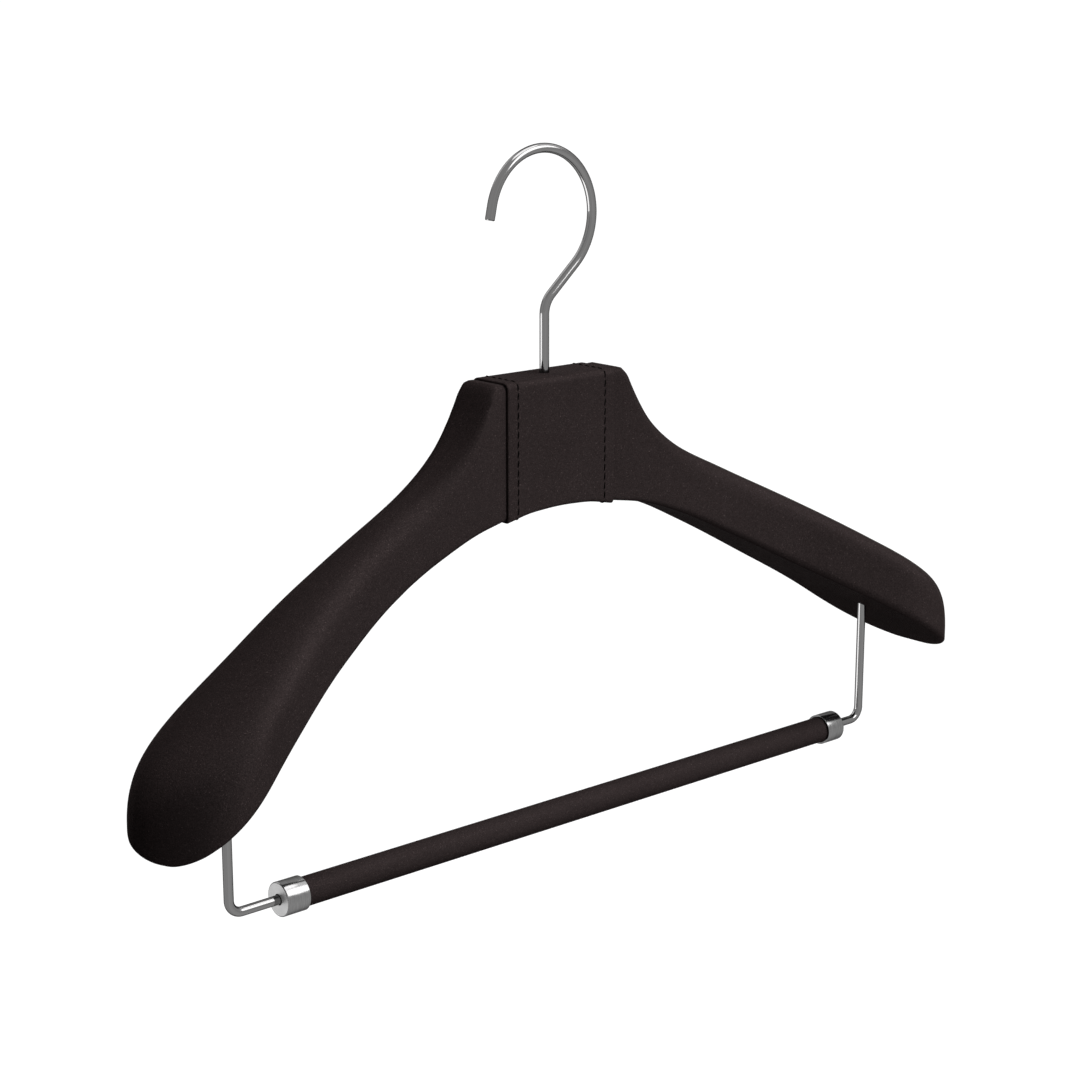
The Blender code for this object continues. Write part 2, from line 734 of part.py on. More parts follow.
def build():
    core_left, cover_left = make_arm(-1, "left")
    core_right, cover_right = make_arm(1, "right")
    cores, covers = (core_left, core_right), (cover_left, cover_right)
    make_band()
    turning = make_hook()
    make_hook_bores(cores, covers)
    make_dowels(cores)
    make_bar_wire(-1, "left", core_left, cover_left)
    make_bar_wire(1, "right", core_right, cover_right)
    hook_axis = make_axis("hook_axis", (0.0, 0.0, 0.0))
    for piece in turning:
        piece.parent = hook_axis
    bar_axis = make_axis("bar_axis", (BAR_SIDE_SHIFT, BAR_Y, BAR_Z), (0.0, math.pi / 2, 0.0))
    for piece in make_bar():
        piece.parent = bar_axis


build()
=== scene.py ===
"""The looks of the suit hanger: fine leather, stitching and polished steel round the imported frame.

Metres, +Z up, in the frame of the part: X runs along the hanger, the front faces -Y, and the
origin is the inside top of the hook's bow.
"""

import bisect
import math

import bmesh
import bpy
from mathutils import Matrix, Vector


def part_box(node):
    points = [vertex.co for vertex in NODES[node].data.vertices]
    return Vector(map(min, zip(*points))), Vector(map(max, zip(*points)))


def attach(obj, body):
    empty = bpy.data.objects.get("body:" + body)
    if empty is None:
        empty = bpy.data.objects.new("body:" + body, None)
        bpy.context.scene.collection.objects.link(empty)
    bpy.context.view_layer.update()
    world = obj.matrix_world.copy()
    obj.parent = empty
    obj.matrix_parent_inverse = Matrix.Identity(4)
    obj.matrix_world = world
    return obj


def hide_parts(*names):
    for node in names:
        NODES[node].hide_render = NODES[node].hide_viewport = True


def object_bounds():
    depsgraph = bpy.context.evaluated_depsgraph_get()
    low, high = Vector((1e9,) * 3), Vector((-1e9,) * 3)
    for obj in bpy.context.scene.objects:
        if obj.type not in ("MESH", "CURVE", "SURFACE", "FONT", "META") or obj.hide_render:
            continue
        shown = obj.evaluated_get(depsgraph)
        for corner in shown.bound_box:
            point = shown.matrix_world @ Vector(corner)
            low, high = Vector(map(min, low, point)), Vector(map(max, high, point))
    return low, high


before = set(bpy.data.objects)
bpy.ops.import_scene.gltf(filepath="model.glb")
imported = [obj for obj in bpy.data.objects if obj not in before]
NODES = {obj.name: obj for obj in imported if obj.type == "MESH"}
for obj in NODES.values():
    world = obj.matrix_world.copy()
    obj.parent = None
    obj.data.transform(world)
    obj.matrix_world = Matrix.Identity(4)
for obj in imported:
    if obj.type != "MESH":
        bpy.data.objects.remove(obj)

CAD_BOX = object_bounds()

# Sizes of the part, in its own words
SEAT_GAP = 0.0003
HOOK_WIRE_DIAMETER = 0.0042
HOOK_BOW_RADIUS = 0.0286
HOOK_BOW_RISE = 0.0672
HOOK_BOW_OFFSET = -0.0012
HOOK_SLANT = math.radians(41.3)
HOOK_KNEE_RADIUS = 0.0115
HOOK_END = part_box("hook")[0].z
BAND_WIDTH = 0.0616
NECK_DEPTH = 0.0234
NECK_HEIGHT = 0.0572
BAND_CORNER_RADIUS = 0.0030
BAND_FOOT_RADIUS = 0.0016
BAND_THICKNESS = 0.0008
COVER_THICKNESS = 0.0012
COVER_CORNER_RADIUS = 0.0026
LEAST_RADIUS = 0.0003
OVERALL_WIDTH = 0.450
CROWN_DROP = (
    (0.0000, 0.0000),
    (0.0020, -0.0006),
    (0.0052, -0.0007),
    (0.0080, 0.0016),
    (0.0106, 0.0066),
    (0.0144, 0.0136),
    (0.0224, 0.0246),
    (0.0392, 0.0379),
    (0.0671, 0.0520),
    (0.1091, 0.0734),
    (0.1464, 0.0949),
    (0.1942, 0.1252),
)
FRONT_SWEEP = (
    (0.0000, 0.0000),
    (0.0100, 0.0016),
    (0.0252, 0.0036),
    (0.0625, 0.0070),
    (0.0998, 0.0175),
    (0.1371, 0.0348),
    (0.1669, 0.0496),
    (0.1942, 0.0592),
)
BACK_SWELL = (
    (0.0000, 0.0000),
    (0.0252, 0.0020),
    (0.0625, 0.0062),
    (0.0998, 0.0054),
    (0.1371, 0.0026),
    (0.1942, 0.0010),
)
UNDERSIDE_DROP = (
    (-0.0155, 0.0007),
    (0.0000, 0.0000),
    (0.0155, 0.0007),
    (0.0308, 0.0035),
    (0.0466, 0.0061),
    (0.0700, 0.0140),
    (0.0979, 0.0272),
    (0.1399, 0.0499),
    (0.1772, 0.0712),
    (0.2250, 0.1028),
)
SHOULDER_BLEND_LENGTH = 0.0680
FRONT_BLEND_LENGTH = 0.0450
CROWN_HEIGHT = 0.0278
CROWN_PEAK_SHARE = 0.295
CROWN_SQUARENESS = 2.40
FRONT_FALL = 0.0125
FRONT_SQUARENESS = 2.60
CROWN_MOST_SHARE = 0.9
FOOT_MOST_SHARE = 0.48
PLAN_STEP = 0.0001
ROUND = 2
ARM_FOOT_RADIUS = 0.0036
TIP_LENGTH = 0.0430
TIP_PLAN_SQUARENESS = 2.2
TIP_HEIGHT_SQUARENESS = 5.4
TIP_SKEW = 0.0013
BAR_WIRE_DIAMETER = 0.0040
BAR_WIRE_INSET = 0.0385
BAR_WIRE_BEND_RADIUS = 0.0060
BAR_WIRE_REACH = 0.0260
BAR_DROP = 0.1908
BAR_FORWARD = 0.0244
BAR_SIDE_SHIFT = 0.0024
BAR_END_SPACE = 0.0209
BAR_DIAMETER = 0.0122
BAR_LEATHER_THICKNESS = 0.0012
FERRULE_WALL = 0.0008
FERRULE_LENGTH = 0.0109
FERRULE_END_WALL = 0.0010
# As the photograph shows them, which puts the leather and the hook's tip up to 1 mm off the solids
COVER_FOOT_RADIUS = 0.0020
FOOT_BLEND_LENGTH = 0.0700
HOOK_TIP_ANGLE = math.radians(168)

# Places that follow from these sizes
HOOK_RADIUS = HOOK_WIRE_DIAMETER / 2
NECK_TOP = -HOOK_BOW_RISE - math.sqrt((HOOK_BOW_RADIUS - HOOK_RADIUS) ** 2 - HOOK_BOW_OFFSET**2)
BAND_EDGE = BAND_WIDTH / 2
COVER_INSET = BAND_THICKNESS + SEAT_GAP
COVER_TOP = NECK_TOP - COVER_INSET
COVER_FOOT = NECK_TOP - NECK_HEIGHT + COVER_INSET
COVER_HALF_DEPTH = NECK_DEPTH / 2 - COVER_INSET
CORE_FOOT = COVER_FOOT + COVER_THICKNESS + SEAT_GAP
MIDDLE_GAP = SEAT_GAP / 2
ARM_TIP = OVERALL_WIDTH / 2
BAR_Y = -BAR_FORWARD
BAR_Z = NECK_TOP - BAR_DROP
BAR_RADIUS = BAR_DIAMETER / 2
BAR_WIRE_X = ARM_TIP - BAR_WIRE_INSET
BAR_WIRE_RADIUS = BAR_WIRE_DIAMETER / 2
BAR_HALF_LENGTH = BAR_WIRE_X - BAR_END_SPACE
BAR_COVER_HALF = (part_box("bar_cover")[1].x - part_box("bar_cover")[0].x) / 2

# Finer details that only the looks have
SHANK_GAP = 0.00012
STITCH_INSET = 0.0057
STITCH_PITCH = 0.0041
STITCH_SHARE = 0.72
STITCH_SINK = 0.00045
STITCH_RISE = 0.00056
STITCH_FULLNESS = 0.30
STITCH_SLANT = 0.00022
STITCH_STEPS = 20
THREAD_RADIUS = 0.00024
THREAD_LAY = 0.0011
THREAD_PLIES = 3
THREAD_PLY_DEPTH = 0.13
THREAD_SIDES = 15
GROOVE_DEPTH = 0.00005
GROOVE_HALF_WIDTH = 0.00060
HOLE_DEPTH = 0.00012
HOLE_RADIUS = 0.00024
BAND_EDGE_ROUND = 0.00060
BAND_EDGE_TUCK = 0.00020
SEAM_FROM_FOOT = 0.0020
SEAM_DEPTH = 0.00035
SEAM_HALF_WIDTH = 0.00016
BAR_SEAM_ANGLE = math.radians(-55)
ARM_STITCH_FROM_FOOT = 0.0042
ARM_SEAM_START = 0.0280
ARM_SEAM_END = 0.2040
ARM_SEAM_FADE = 0.0060
WIRE_END_CHAMFER = 0.00035
FERRULE_EDGE_RADIUS = 0.00045
FERRULE_INNER_EDGE = 0.00015
SMOOTH_REACH = 0.0050
SMOOTH_SHARE = 0.12
SMOOTH_SHIFTS = (-1.0, -0.6, -0.2, 0.2, 0.6, 1.0)
SHARP_ANGLE = math.radians(38)

# How finely the surfaces are divided
CROWN_POINTS = 26
FOOT_POINTS = 9
OVER_POINTS = 78
UNDER_POINTS = 22
NECK_STATIONS = 6
SHOULDER_STEP = 0.0010
SHOULDER_LENGTH = 0.0300
ARM_STEP = 0.0020
TIP_STATIONS = 44
TIP_END_SHARE = 0.998
BAND_RING_POINTS = 400
BEND_STEP = math.radians(2.5)
STRAIGHT_STEP = 0.0040
WIRE_SIDES = 48
TURNED_STEPS = 96
EDGE_STEPS = 5
CUTTER_SIDES = 64
CUT_MARGIN = 0.0040
BAR_STATIONS = 61
# Distances round the bar from its seam, close together, and how far off the even points begin
BAR_SEAM_SHIFTS = (-0.0004, -0.0002, -0.0001, 0.0, 0.0001, 0.0002, 0.0004)
BAR_SEAM_CLEAR = 0.0005
# The band's columns out from its middle, and then those by its stitches, counted from them
BAND_COLUMNS = (0.0, 0.0020, 0.0045, 0.0075, 0.0110, 0.0145, 0.0180, 0.0208, 0.0225, 0.0234, 0.0240)
STITCH_COLUMN_STEP = 0.00015
STITCH_COLUMN_REACH = 5
OUTER_COLUMNS = (0.0012, 0.0021, 0.0034, 0.0046)
# Distances up the back from the foot, close together where the seam and its stitches lie
BACK_SPACING = (0.0006, 0.0012, 0.0016, 0.0018, 0.0019, 0.0020, 0.0021, 0.0022, 0.0025, 0.0030)
BACK_SPACING += (0.0034, 0.0037, 0.0039, 0.0042, 0.0045, 0.0047, 0.0050, 0.0055, 0.0062, 0.0072)
BACK_SPACING_SHARE = 0.30


# Shapes

def line_at(points, x):
    """Height at x of the smooth line through the points, which never overshoots them."""
    gaps = [b[0] - a[0] for a, b in zip(points, points[1:])]
    rises = [(b[1] - a[1]) / gap for a, b, gap in zip(points, points[1:], gaps)]
    slopes = [rises[0]]
    for i in range(1, len(rises)):
        before, after = rises[i - 1], rises[i]
        if before * after <= 0:
            slopes.append(0.0)
            continue
        near, far = 2 * gaps[i] + gaps[i - 1], gaps[i] + 2 * gaps[i - 1]
        slopes.append((near + far) / (near / before + far / after))
    slopes.append(rises[-1])
    if x >= points[-1][0]:
        return points[-1][1] + slopes[-1] * (x - points[-1][0])
    i = max(k for k in range(len(gaps)) if k == 0 or points[k][0] <= x)
    t = (x - points[i][0]) / gaps[i]
    return (
        points[i][1] * (1 + 2 * t) * (1 - t) ** 2
        + slopes[i] * gaps[i] * t * (1 - t) ** 2
        + points[i + 1][1] * t * t * (3 - 2 * t)
        + slopes[i + 1] * gaps[i] * t * t * (t - 1)
    )


def soft_line_at(points, x):
    """The same line, averaged over a short stretch so that its bends flow."""
    reach = min(SMOOTH_REACH, SMOOTH_SHARE * x)
    heights = [line_at(points, x + reach * shift) for shift in SMOOTH_SHIFTS]
    return sum(heights) / len(heights)


def quarter(centre, reach, rise, squareness, count):
    """A quarter of a superellipse, from its side at (reach, 0) to its top at (0, rise)."""
    points = []
    for i in range(count):
        angle = math.pi / 2 * i / (count - 1)
        across = max(0.0, math.cos(angle)) ** (2 / squareness)
        up = max(0.0, math.sin(angle)) ** (2 / squareness)
        points.append((centre[0] + reach * across, centre[1] + rise * up))
    return points


def closing(x, start, end, squareness):
    """1 up to the start of the tip, falling to 0 at its end along a superellipse."""
    share = min(1.0, max(0.0, (x - start) / (end - start)))
    return (1 - share**squareness) ** (1 / squareness)


def ease(x, start, end):
    """0 before start, 1 after end, and smooth between them."""
    share = min(1.0, max(0.0, (x - start) / (end - start)))
    return share * share * (3 - 2 * share)


def dip(distance, half_width):
    """1 at the middle of a groove, falling off smoothly to its sides."""
    return math.exp(-((distance / half_width) ** 2))


def running_lengths(points):
    lengths = [0.0]
    for a, b in zip(points, points[1:]):
        lengths.append(lengths[-1] + math.dist(a, b))
    return lengths


def values_at(lengths, values, distances):
    """The values at the given distances, between those that are known at the running lengths."""
    found = []
    for distance in distances:
        i = min(max(bisect.bisect_right(lengths, distance) - 1, 0), len(values) - 2)
        gap = lengths[i + 1] - lengths[i]
        t = 0.0 if gap == 0 else min(1.0, (distance - lengths[i]) / gap)
        found.append(tuple(p + (q - p) * t for p, q in zip(values[i], values[i + 1])))
    return found


def points_at(points, distances):
    """The points that lie at the given distances along a line of points."""
    return values_at(running_lengths(points), points, distances)


def pressed(points, depths, closed):
    """A clockwise line of (y, z) points, with each point pressed inwards by its depth."""
    count = len(points)
    moved = []
    for i, ((y, z), depth) in enumerate(zip(points, depths)):
        before = points[i - 1] if i or closed else points[0]
        after = points[(i + 1) % count] if i < count - 1 or closed else points[-1]
        run_y, run_z = after[0] - before[0], after[1] - before[1]
        length = math.hypot(run_y, run_z) or 1.0
        moved.append((y + depth * run_z / length, z - depth * run_y / length))
    return moved


def arc(centre, radius, start, end):
    """Points (x, z) along an arc, both ends included. Angles are from +X towards +Z."""
    count = max(2, math.ceil(abs(end - start) / BEND_STEP))
    angles = [start + (end - start) * i / count for i in range(count + 1)]
    return [
        (centre[0] + radius * math.cos(angle), centre[1] + radius * math.sin(angle))
        for angle in angles
    ]


def between(start, end, step):
    """Points from start to end, without either of them, about a step apart."""
    count = max(1, round(math.dist(start, end) / step))
    return [
        tuple(p + (q - p) * i / count for p, q in zip(start, end)) for i in range(1, count)
    ]


# Meshes

def add_object(name, mesh, materials):
    obj = bpy.data.objects.new(name, mesh)
    bpy.context.scene.collection.objects.link(obj)
    for material in materials:
        mesh.materials.append(material)
    return obj


def shade_round(mesh):
    mesh.shade_smooth()
    mesh.set_sharp_from_angle(angle=SHARP_ANGLE)


def loft(name, skins, capped):
    """Lofts rings of points into an outer skin and an inner one, joined at every end that isn't
    capped. The joining faces take the second material."""
    vertices, faces, joining = [], [], []
    for depth, rings in enumerate(skins):
        size = len(rings[0])
        base = len(vertices)
        vertices += [point for ring in rings for point in ring]
        for i in range(len(rings) - 1):
            for j in range(size):
                a, b = base + i * size + j, base + i * size + (j + 1) % size
                face = (a, b, b + size, a + size)
                faces.append(face if depth == 0 else face[::-1])
    size, last = len(skins[0][0]), (len(skins[0]) - 1) * len(skins[0][0])
    inner = len(skins[0]) * size
    for start, flip, cap in ((0, False, capped[0]), (last, True, capped[1])):
        outer_ring = list(range(start, start + size))
        inner_ring = list(range(inner + start, inner + start + size))
        if cap:
            faces.append(tuple(outer_ring if flip else outer_ring[::-1]))
            faces.append(tuple(inner_ring[::-1] if flip else inner_ring))
            continue
        for j in range(size):
            k = (j + 1) % size
            face = (outer_ring[j], inner_ring[j], inner_ring[k], outer_ring[k])
            joining.append(len(faces))
            faces.append(face[::-1] if flip else face)
    mesh = bpy.data.meshes.new(name)
    mesh.from_pydata(vertices, [], faces)
    for index in joining:
        mesh.polygons[index].material_index = 1
    return mesh


def cut(obj, radius, start, end):
    """Cuts a round hole through an object along an upright or level line."""
    run = Vector(end) - Vector(start)
    tool = bpy.data.meshes.new("cutter")
    shape = bmesh.new()
    bmesh.ops.create_cone(
        shape,
        cap_ends=True,
        segments=CUTTER_SIDES,
        radius1=radius,
        radius2=radius,
        depth=run.length,
    )
    shape.to_mesh(tool)
    shape.free()
    cutter = add_object("cutter", tool, [])
    cutter.location = (Vector(start) + Vector(end)) / 2
    cutter.rotation_mode = "QUATERNION"
    cutter.rotation_quaternion = run.to_track_quat("Z", "Y")
    boolean = obj.modifiers.new("hole", "BOOLEAN")
    boolean.operation = "DIFFERENCE"
    boolean.solver = "EXACT"
    boolean.object = cutter
    graph = bpy.context.evaluated_depsgraph_get()
    result = bpy.data.meshes.new_from_object(obj.evaluated_get(graph))
    obj.modifiers.clear()
    obj.data = result
    bpy.data.objects.remove(cutter)


def set_uv(mesh, places):
    layer = mesh.uv_layers.new(name="along")
    for loop, place in zip(layer.data, places):
        loop.uv = place


def wire_mesh(name, path, radius):
    """A round wire along a path in an upright plane of constant Y, its ends cut square with a
    small chamfer. Its UV runs round the wire, with the seam at the back, and along it."""
    path = [Vector(point) for point in path]
    lengths = running_lengths(path)
    rows = [(0, 0.0, radius - WIRE_END_CHAMFER), (0, WIRE_END_CHAMFER, radius)]
    rows += [(i, 0.0, radius) for i in range(1, len(path) - 1)]
    last = len(path) - 1
    rows += [(last, -WIRE_END_CHAMFER, radius), (last, 0.0, radius - WIRE_END_CHAMFER)]
    depth = Vector((0.0, 1.0, 0.0))
    vertices, uv_rows = [], []
    for i, shift, row_radius in rows:
        run = (path[min(i + 1, last)] - path[max(i - 1, 0)]).normalized()
        across = depth.cross(run)
        centre = path[i] + run * shift
        for j in range(WIRE_SIDES):
            angle = math.tau * j / WIRE_SIDES
            spoke = depth * math.cos(angle) + across * math.sin(angle)
            vertices.append(centre + spoke * row_radius)
        uv_rows.append(lengths[i] + shift)
    faces, places = [], []
    for i, (near, far) in enumerate(zip(uv_rows, uv_rows[1:])):
        row, after = i * WIRE_SIDES, (i + 1) * WIRE_SIDES
        for j in range(WIRE_SIDES):
            k = (j + 1) % WIRE_SIDES
            faces.append((after + j, after + k, row + k, row + j))
            left, right = j / WIRE_SIDES, (j + 1) / WIRE_SIDES
            places += [(left, far), (right, far), (right, near), (left, near)]
    end = len(vertices) - WIRE_SIDES
    faces.append(tuple(range(WIRE_SIDES)))
    faces.append(tuple(range(end, end + WIRE_SIDES))[::-1])
    places += [(0.5, 0.0)] * (2 * WIRE_SIDES)
    mesh = bpy.data.meshes.new(name)
    mesh.from_pydata(vertices, [], faces)
    set_uv(mesh, places)
    shade_round(mesh)
    return mesh


def stitch_row(name, path, outward, closed, material):
    """A row of stitches along a line of points. Each stitch is a short twisted thread that comes
    up out of one hole in the leather and goes down into the next."""
    if closed:
        path, outward = path + path[:1], outward + outward[:1]
    lengths = running_lengths(path)
    count = round(lengths[-1] / STITCH_PITCH)
    pitch = lengths[-1] / count
    vertices, faces = [], []
    for stitch in range(count):
        shares = [i / STITCH_STEPS for i in range(STITCH_STEPS + 1)]
        distances = [
            (stitch + 0.5 + (share - 0.5) * STITCH_SHARE) * pitch for share in shares
        ]
        feet = [Vector(point) for point in values_at(lengths, path, distances)]
        ups = [Vector(way).normalized() for way in values_at(lengths, outward, distances)]
        runs = [
            (feet[min(i + 1, STITCH_STEPS)] - feet[max(i - 1, 0)]).normalized()
            for i in range(STITCH_STEPS + 1)
        ]
        centres = []
        for share, foot, up, run in zip(shares, feet, ups, runs):
            side = run.cross(up)
            arch = math.sin(math.pi * share) ** STITCH_FULLNESS
            height = STITCH_RISE * arch - STITCH_SINK
            centres.append(foot + up * height + side * STITCH_SLANT * (2 * share - 1))
        base = len(vertices)
        for i, centre in enumerate(centres):
            run = (centres[min(i + 1, STITCH_STEPS)] - centres[max(i - 1, 0)]).normalized()
            side = run.cross(ups[i]).normalized()
            up = side.cross(run)
            twist = math.tau * distances[i] / THREAD_LAY
            for j in range(THREAD_SIDES):
                angle = math.tau * j / THREAD_SIDES
                ply = 1 + THREAD_PLY_DEPTH * math.cos(THREAD_PLIES * (angle - twist))
                spoke = side * math.cos(angle) + up * math.sin(angle)
                vertices.append(centre + spoke * THREAD_RADIUS * ply)
        for i in range(STITCH_STEPS):
            row = base + i * THREAD_SIDES
            for j in range(THREAD_SIDES):
                a, b = row + j, row + (j + 1) % THREAD_SIDES
                faces.append((a, a + THREAD_SIDES, b + THREAD_SIDES, b))
        end = base + STITCH_STEPS * THREAD_SIDES
        faces.append(tuple(range(base, base + THREAD_SIDES)))
        faces.append(tuple(range(end, end + THREAD_SIDES))[::-1])
    mesh = bpy.data.meshes.new(name)
    mesh.from_pydata(vertices, [], faces)
    mesh.shade_smooth()
    return add_object(name, mesh, [material])


def turned_mesh(name, profile, steps, spans):
    """A solid turned about a line along X. The profile is a closed loop of (along, radius) points,
    and spans gives the profile points where the second material starts and ends."""
    count = len(profile)
    lengths = running_lengths(profile + profile[:1])
    vertices, faces, places, second = [], [], [], []
    for along, radius in profile:
        for j in range(steps):
            angle = math.tau * j / steps
            vertices.append((along, radius * math.cos(angle), radius * math.sin(angle)))
    for i in range(count):
        k = (i + 1) % count
        for j in range(steps):
            m = (j + 1) % steps
            if spans[0] <= i < spans[1]:
                second.append(len(faces))
            faces.append((i * steps + j, k * steps + j, k * steps + m, i * steps + m))
            left, right = j / steps, (j + 1) / steps
            near, far = lengths[i], lengths[i + 1]
            places += [(left, near), (left, far), (right, far), (right, near)]
    mesh = bpy.data.meshes.new(name)
    mesh.from_pydata(vertices, [], faces)
    for index in second:
        mesh.polygons[index].material_index = 1
    set_uv(mesh, places)
    shade_round(mesh)
    return mesh


# Materials

# A noise keeps nearly all of its values between these two
NOISE_LOW = 0.3
NOISE_HIGH = 0.7
# Leather. Its drift, pores, swell, mottle and painted glints run at rates that multiply the pebbles'
# own.
LEATHER_COLOUR = (0.0322, 0.0246, 0.0246)
LEATHER_LUSTRE = 0.19
LEATHER_RIM_SHINE = 0.10
LEATHER_ROUGHNESS = (0.44, 0.50)
LEATHER_ROUGHNESS_RATE = 120.0
PEBBLE_SHINE = -0.05
DRIFT_RATE = 0.6
DRIFT = (0.0004, 0.0004, 0.0004)
CREASE_WIDTH = 0.22
# Painted shade: the colour darker down in the creases, and a little lighter on the pebbles' tops as
# rubbed wear
CREASE_SHADE_AND_RUB_TONE = (0.80, 1.05)
PORE_RATE = 3.1
PORE_HEIGHT = 0.35
SWELL_RATE = 0.45
SWELL_HEIGHT = 1.6
CLOUD_RATE = 38.0
CLOUD_TONE = (0.95, 1.05)
MOTTLE_RATE = 1.3
MOTTLE_TONE = (0.68, 1.32)
# Painted glints: sparse dots of the leather's colour made up to about twice as light
GLINT_SPECK_RATE = 1.1
GLINT_SPECK_RANGE = (0.66, 0.74)
GLINT_SPECK_TONE = (1.0, 2.1)
# Steel
STEEL_TONE = (0.80, 1.10)
HAZE_RATE = 90.0
HAZE_RANGE = (0.35, 0.65)
HAZE = (0.9, 1.1)


def add_node(tree, kind, inputs=None, **settings):
    """Adds a node. Each input is a plain value, or an output that is linked to it."""
    node = tree.nodes.new(kind)
    for name, value in settings.items():
        setattr(node, name, value)
    for name, value in (inputs or {}).items():
        socket = node.inputs[name]
        if isinstance(value, bpy.types.NodeSocket):
            tree.links.new(value, socket)
        else:
            socket.default_value = value
    return node


def new_material(name, values):
    material = bpy.data.materials.new(name)
    material.use_nodes = True
    tree = material.node_tree
    shader = tree.nodes["Principled BSDF"]
    for socket, value in values.items():
        shader.inputs[socket].default_value = value
    return material, tree, shader


def link_looks(tree, shader, colour, roughness, normal):
    looks = {"Base Color": colour, "Roughness": roughness, "Normal": normal}
    for name, output in looks.items():
        tree.links.new(output, shader.inputs[name])


def noise(tree, place, scale, detail=2.0, roughness=0.5):
    inputs = {"Vector": place, "Scale": scale, "Detail": detail, "Roughness": roughness}
    return add_node(tree, "ShaderNodeTexNoise", inputs).outputs["Fac"]


def spread(tree, value, low, high, to_low, to_high, smooth=False):
    """Maps a value from one range to another and holds it there."""
    inputs = {
        "Value": value,
        "From Min": low,
        "From Max": high,
        "To Min": to_low,
        "To Max": to_high,
    }
    kind = "SMOOTHSTEP" if smooth else "LINEAR"
    return add_node(tree, "ShaderNodeMapRange", inputs, interpolation_type=kind).outputs["Result"]


def vary(tree, value, to_low, to_high):
    """Maps a noise to the range that it should fill."""
    return spread(tree, value, NOISE_LOW, NOISE_HIGH, to_low, to_high)


def maths(tree, operation, *values):
    inputs = dict(enumerate(values))
    return add_node(tree, "ShaderNodeMath", inputs, operation=operation).outputs[0]


def tinted(tree, colour, strength):
    """A colour made lighter or darker by a strength that varies over the surface."""
    inputs = {0: colour, "Scale": strength}
    return add_node(tree, "ShaderNodeVectorMath", inputs, operation="SCALE").outputs["Vector"]


def object_place(tree):
    return add_node(tree, "ShaderNodeTexCoord").outputs["Object"]


def stretched(tree, place, rates):
    """A place whose noise runs at its own rate each way."""
    return add_node(tree, "ShaderNodeMapping", {"Vector": place, "Scale": rates}).outputs["Vector"]


def bump(tree, height, distance):
    inputs = {"Height": height, "Distance": distance, "Strength": 1.0}
    return add_node(tree, "ShaderNodeBump", inputs).outputs["Normal"]


def leather(name, colour, rate, grain_depth):
    """Fine-grained smooth leather: pebbles with creases between them, pores and cloudy colour,
    with painted shade in the creases and painted glints as sparse light dots. Its finish mirrors
    a little of its own colour, and least at a flat angle."""
    values = {
        "Metallic": LEATHER_LUSTRE,
        "Specular IOR Level": 0.0,
        "Specular Tint": (LEATHER_RIM_SHINE, LEATHER_RIM_SHINE, LEATHER_RIM_SHINE, 1.0),
    }
    material, tree, shader = new_material(name, values)
    place = object_place(tree)
    drift = noise(tree, place, rate * DRIFT_RATE, detail=1.0).node.outputs["Color"]
    shifts = {0: drift, 1: DRIFT, 2: place}
    moved = add_node(tree, "ShaderNodeVectorMath", shifts, operation="MULTIPLY_ADD")
    cells = add_node(
        tree,
        "ShaderNodeTexVoronoi",
        {"Vector": moved.outputs["Vector"], "Scale": rate},
        feature="DISTANCE_TO_EDGE",
    ).outputs["Distance"]
    pebbles = spread(tree, cells, 0.0, CREASE_WIDTH, 0.0, 1.0, smooth=True)
    pores = noise(tree, place, rate * PORE_RATE)
    swell = noise(tree, place, rate * SWELL_RATE)
    fine = maths(tree, "MULTIPLY_ADD", pores, PORE_HEIGHT, pebbles)
    height = maths(tree, "MULTIPLY_ADD", swell, SWELL_HEIGHT, fine)
    clouds = noise(tree, place, CLOUD_RATE, detail=4.0, roughness=0.6)
    mottle = noise(tree, place, rate * MOTTLE_RATE, roughness=0.7)
    glint_specks = noise(tree, place, rate * GLINT_SPECK_RATE, detail=1.0)
    tones = (
        vary(tree, clouds, *CLOUD_TONE),
        # painted shade in the creases, with the pebbles' tops a little lighter as rubbed wear
        spread(tree, pebbles, 0.0, 1.0, *CREASE_SHADE_AND_RUB_TONE),
        vary(tree, mottle, *MOTTLE_TONE),
        # painted glints: the colour made lighter where this noise runs high
        spread(tree, glint_specks, *GLINT_SPECK_RANGE, *GLINT_SPECK_TONE),
    )
    tone = tones[0]
    for other in tones[1:]:
        tone = maths(tree, "MULTIPLY", tone, other)
    shine = vary(tree, noise(tree, place, LEATHER_ROUGHNESS_RATE, detail=3.0), *LEATHER_ROUGHNESS)
    rough = maths(tree, "MULTIPLY_ADD", pebbles, PEBBLE_SHINE, shine)
    link_looks(tree, shader, tinted(tree, colour, tone), rough, bump(tree, height, grain_depth))
    return material


def steel(name, colour, rim, roughness, rates, depth):
    """Polished steel with fine drawing lines, which have a depth and run at their own rates round
    the piece and along it. Its rim is how bright it is at a flat angle."""
    values = {"Metallic": 1.0, "Specular Tint": (rim, rim, rim, 1.0)}
    material, tree, shader = new_material(name, values)
    uv = add_node(tree, "ShaderNodeTexCoord").outputs["UV"]
    drawn = noise(tree, stretched(tree, uv, (*rates, 1.0)), 1.0, detail=3.0, roughness=0.6)
    haze = spread(tree, noise(tree, object_place(tree), HAZE_RATE, detail=3.0), *HAZE_RANGE, *HAZE)
    rough = maths(tree, "MULTIPLY", vary(tree, drawn, *roughness), haze)
    tone = vary(tree, drawn, *STEEL_TONE)
    link_looks(tree, shader, tinted(tree, colour, tone), rough, bump(tree, drawn, depth))
    return material


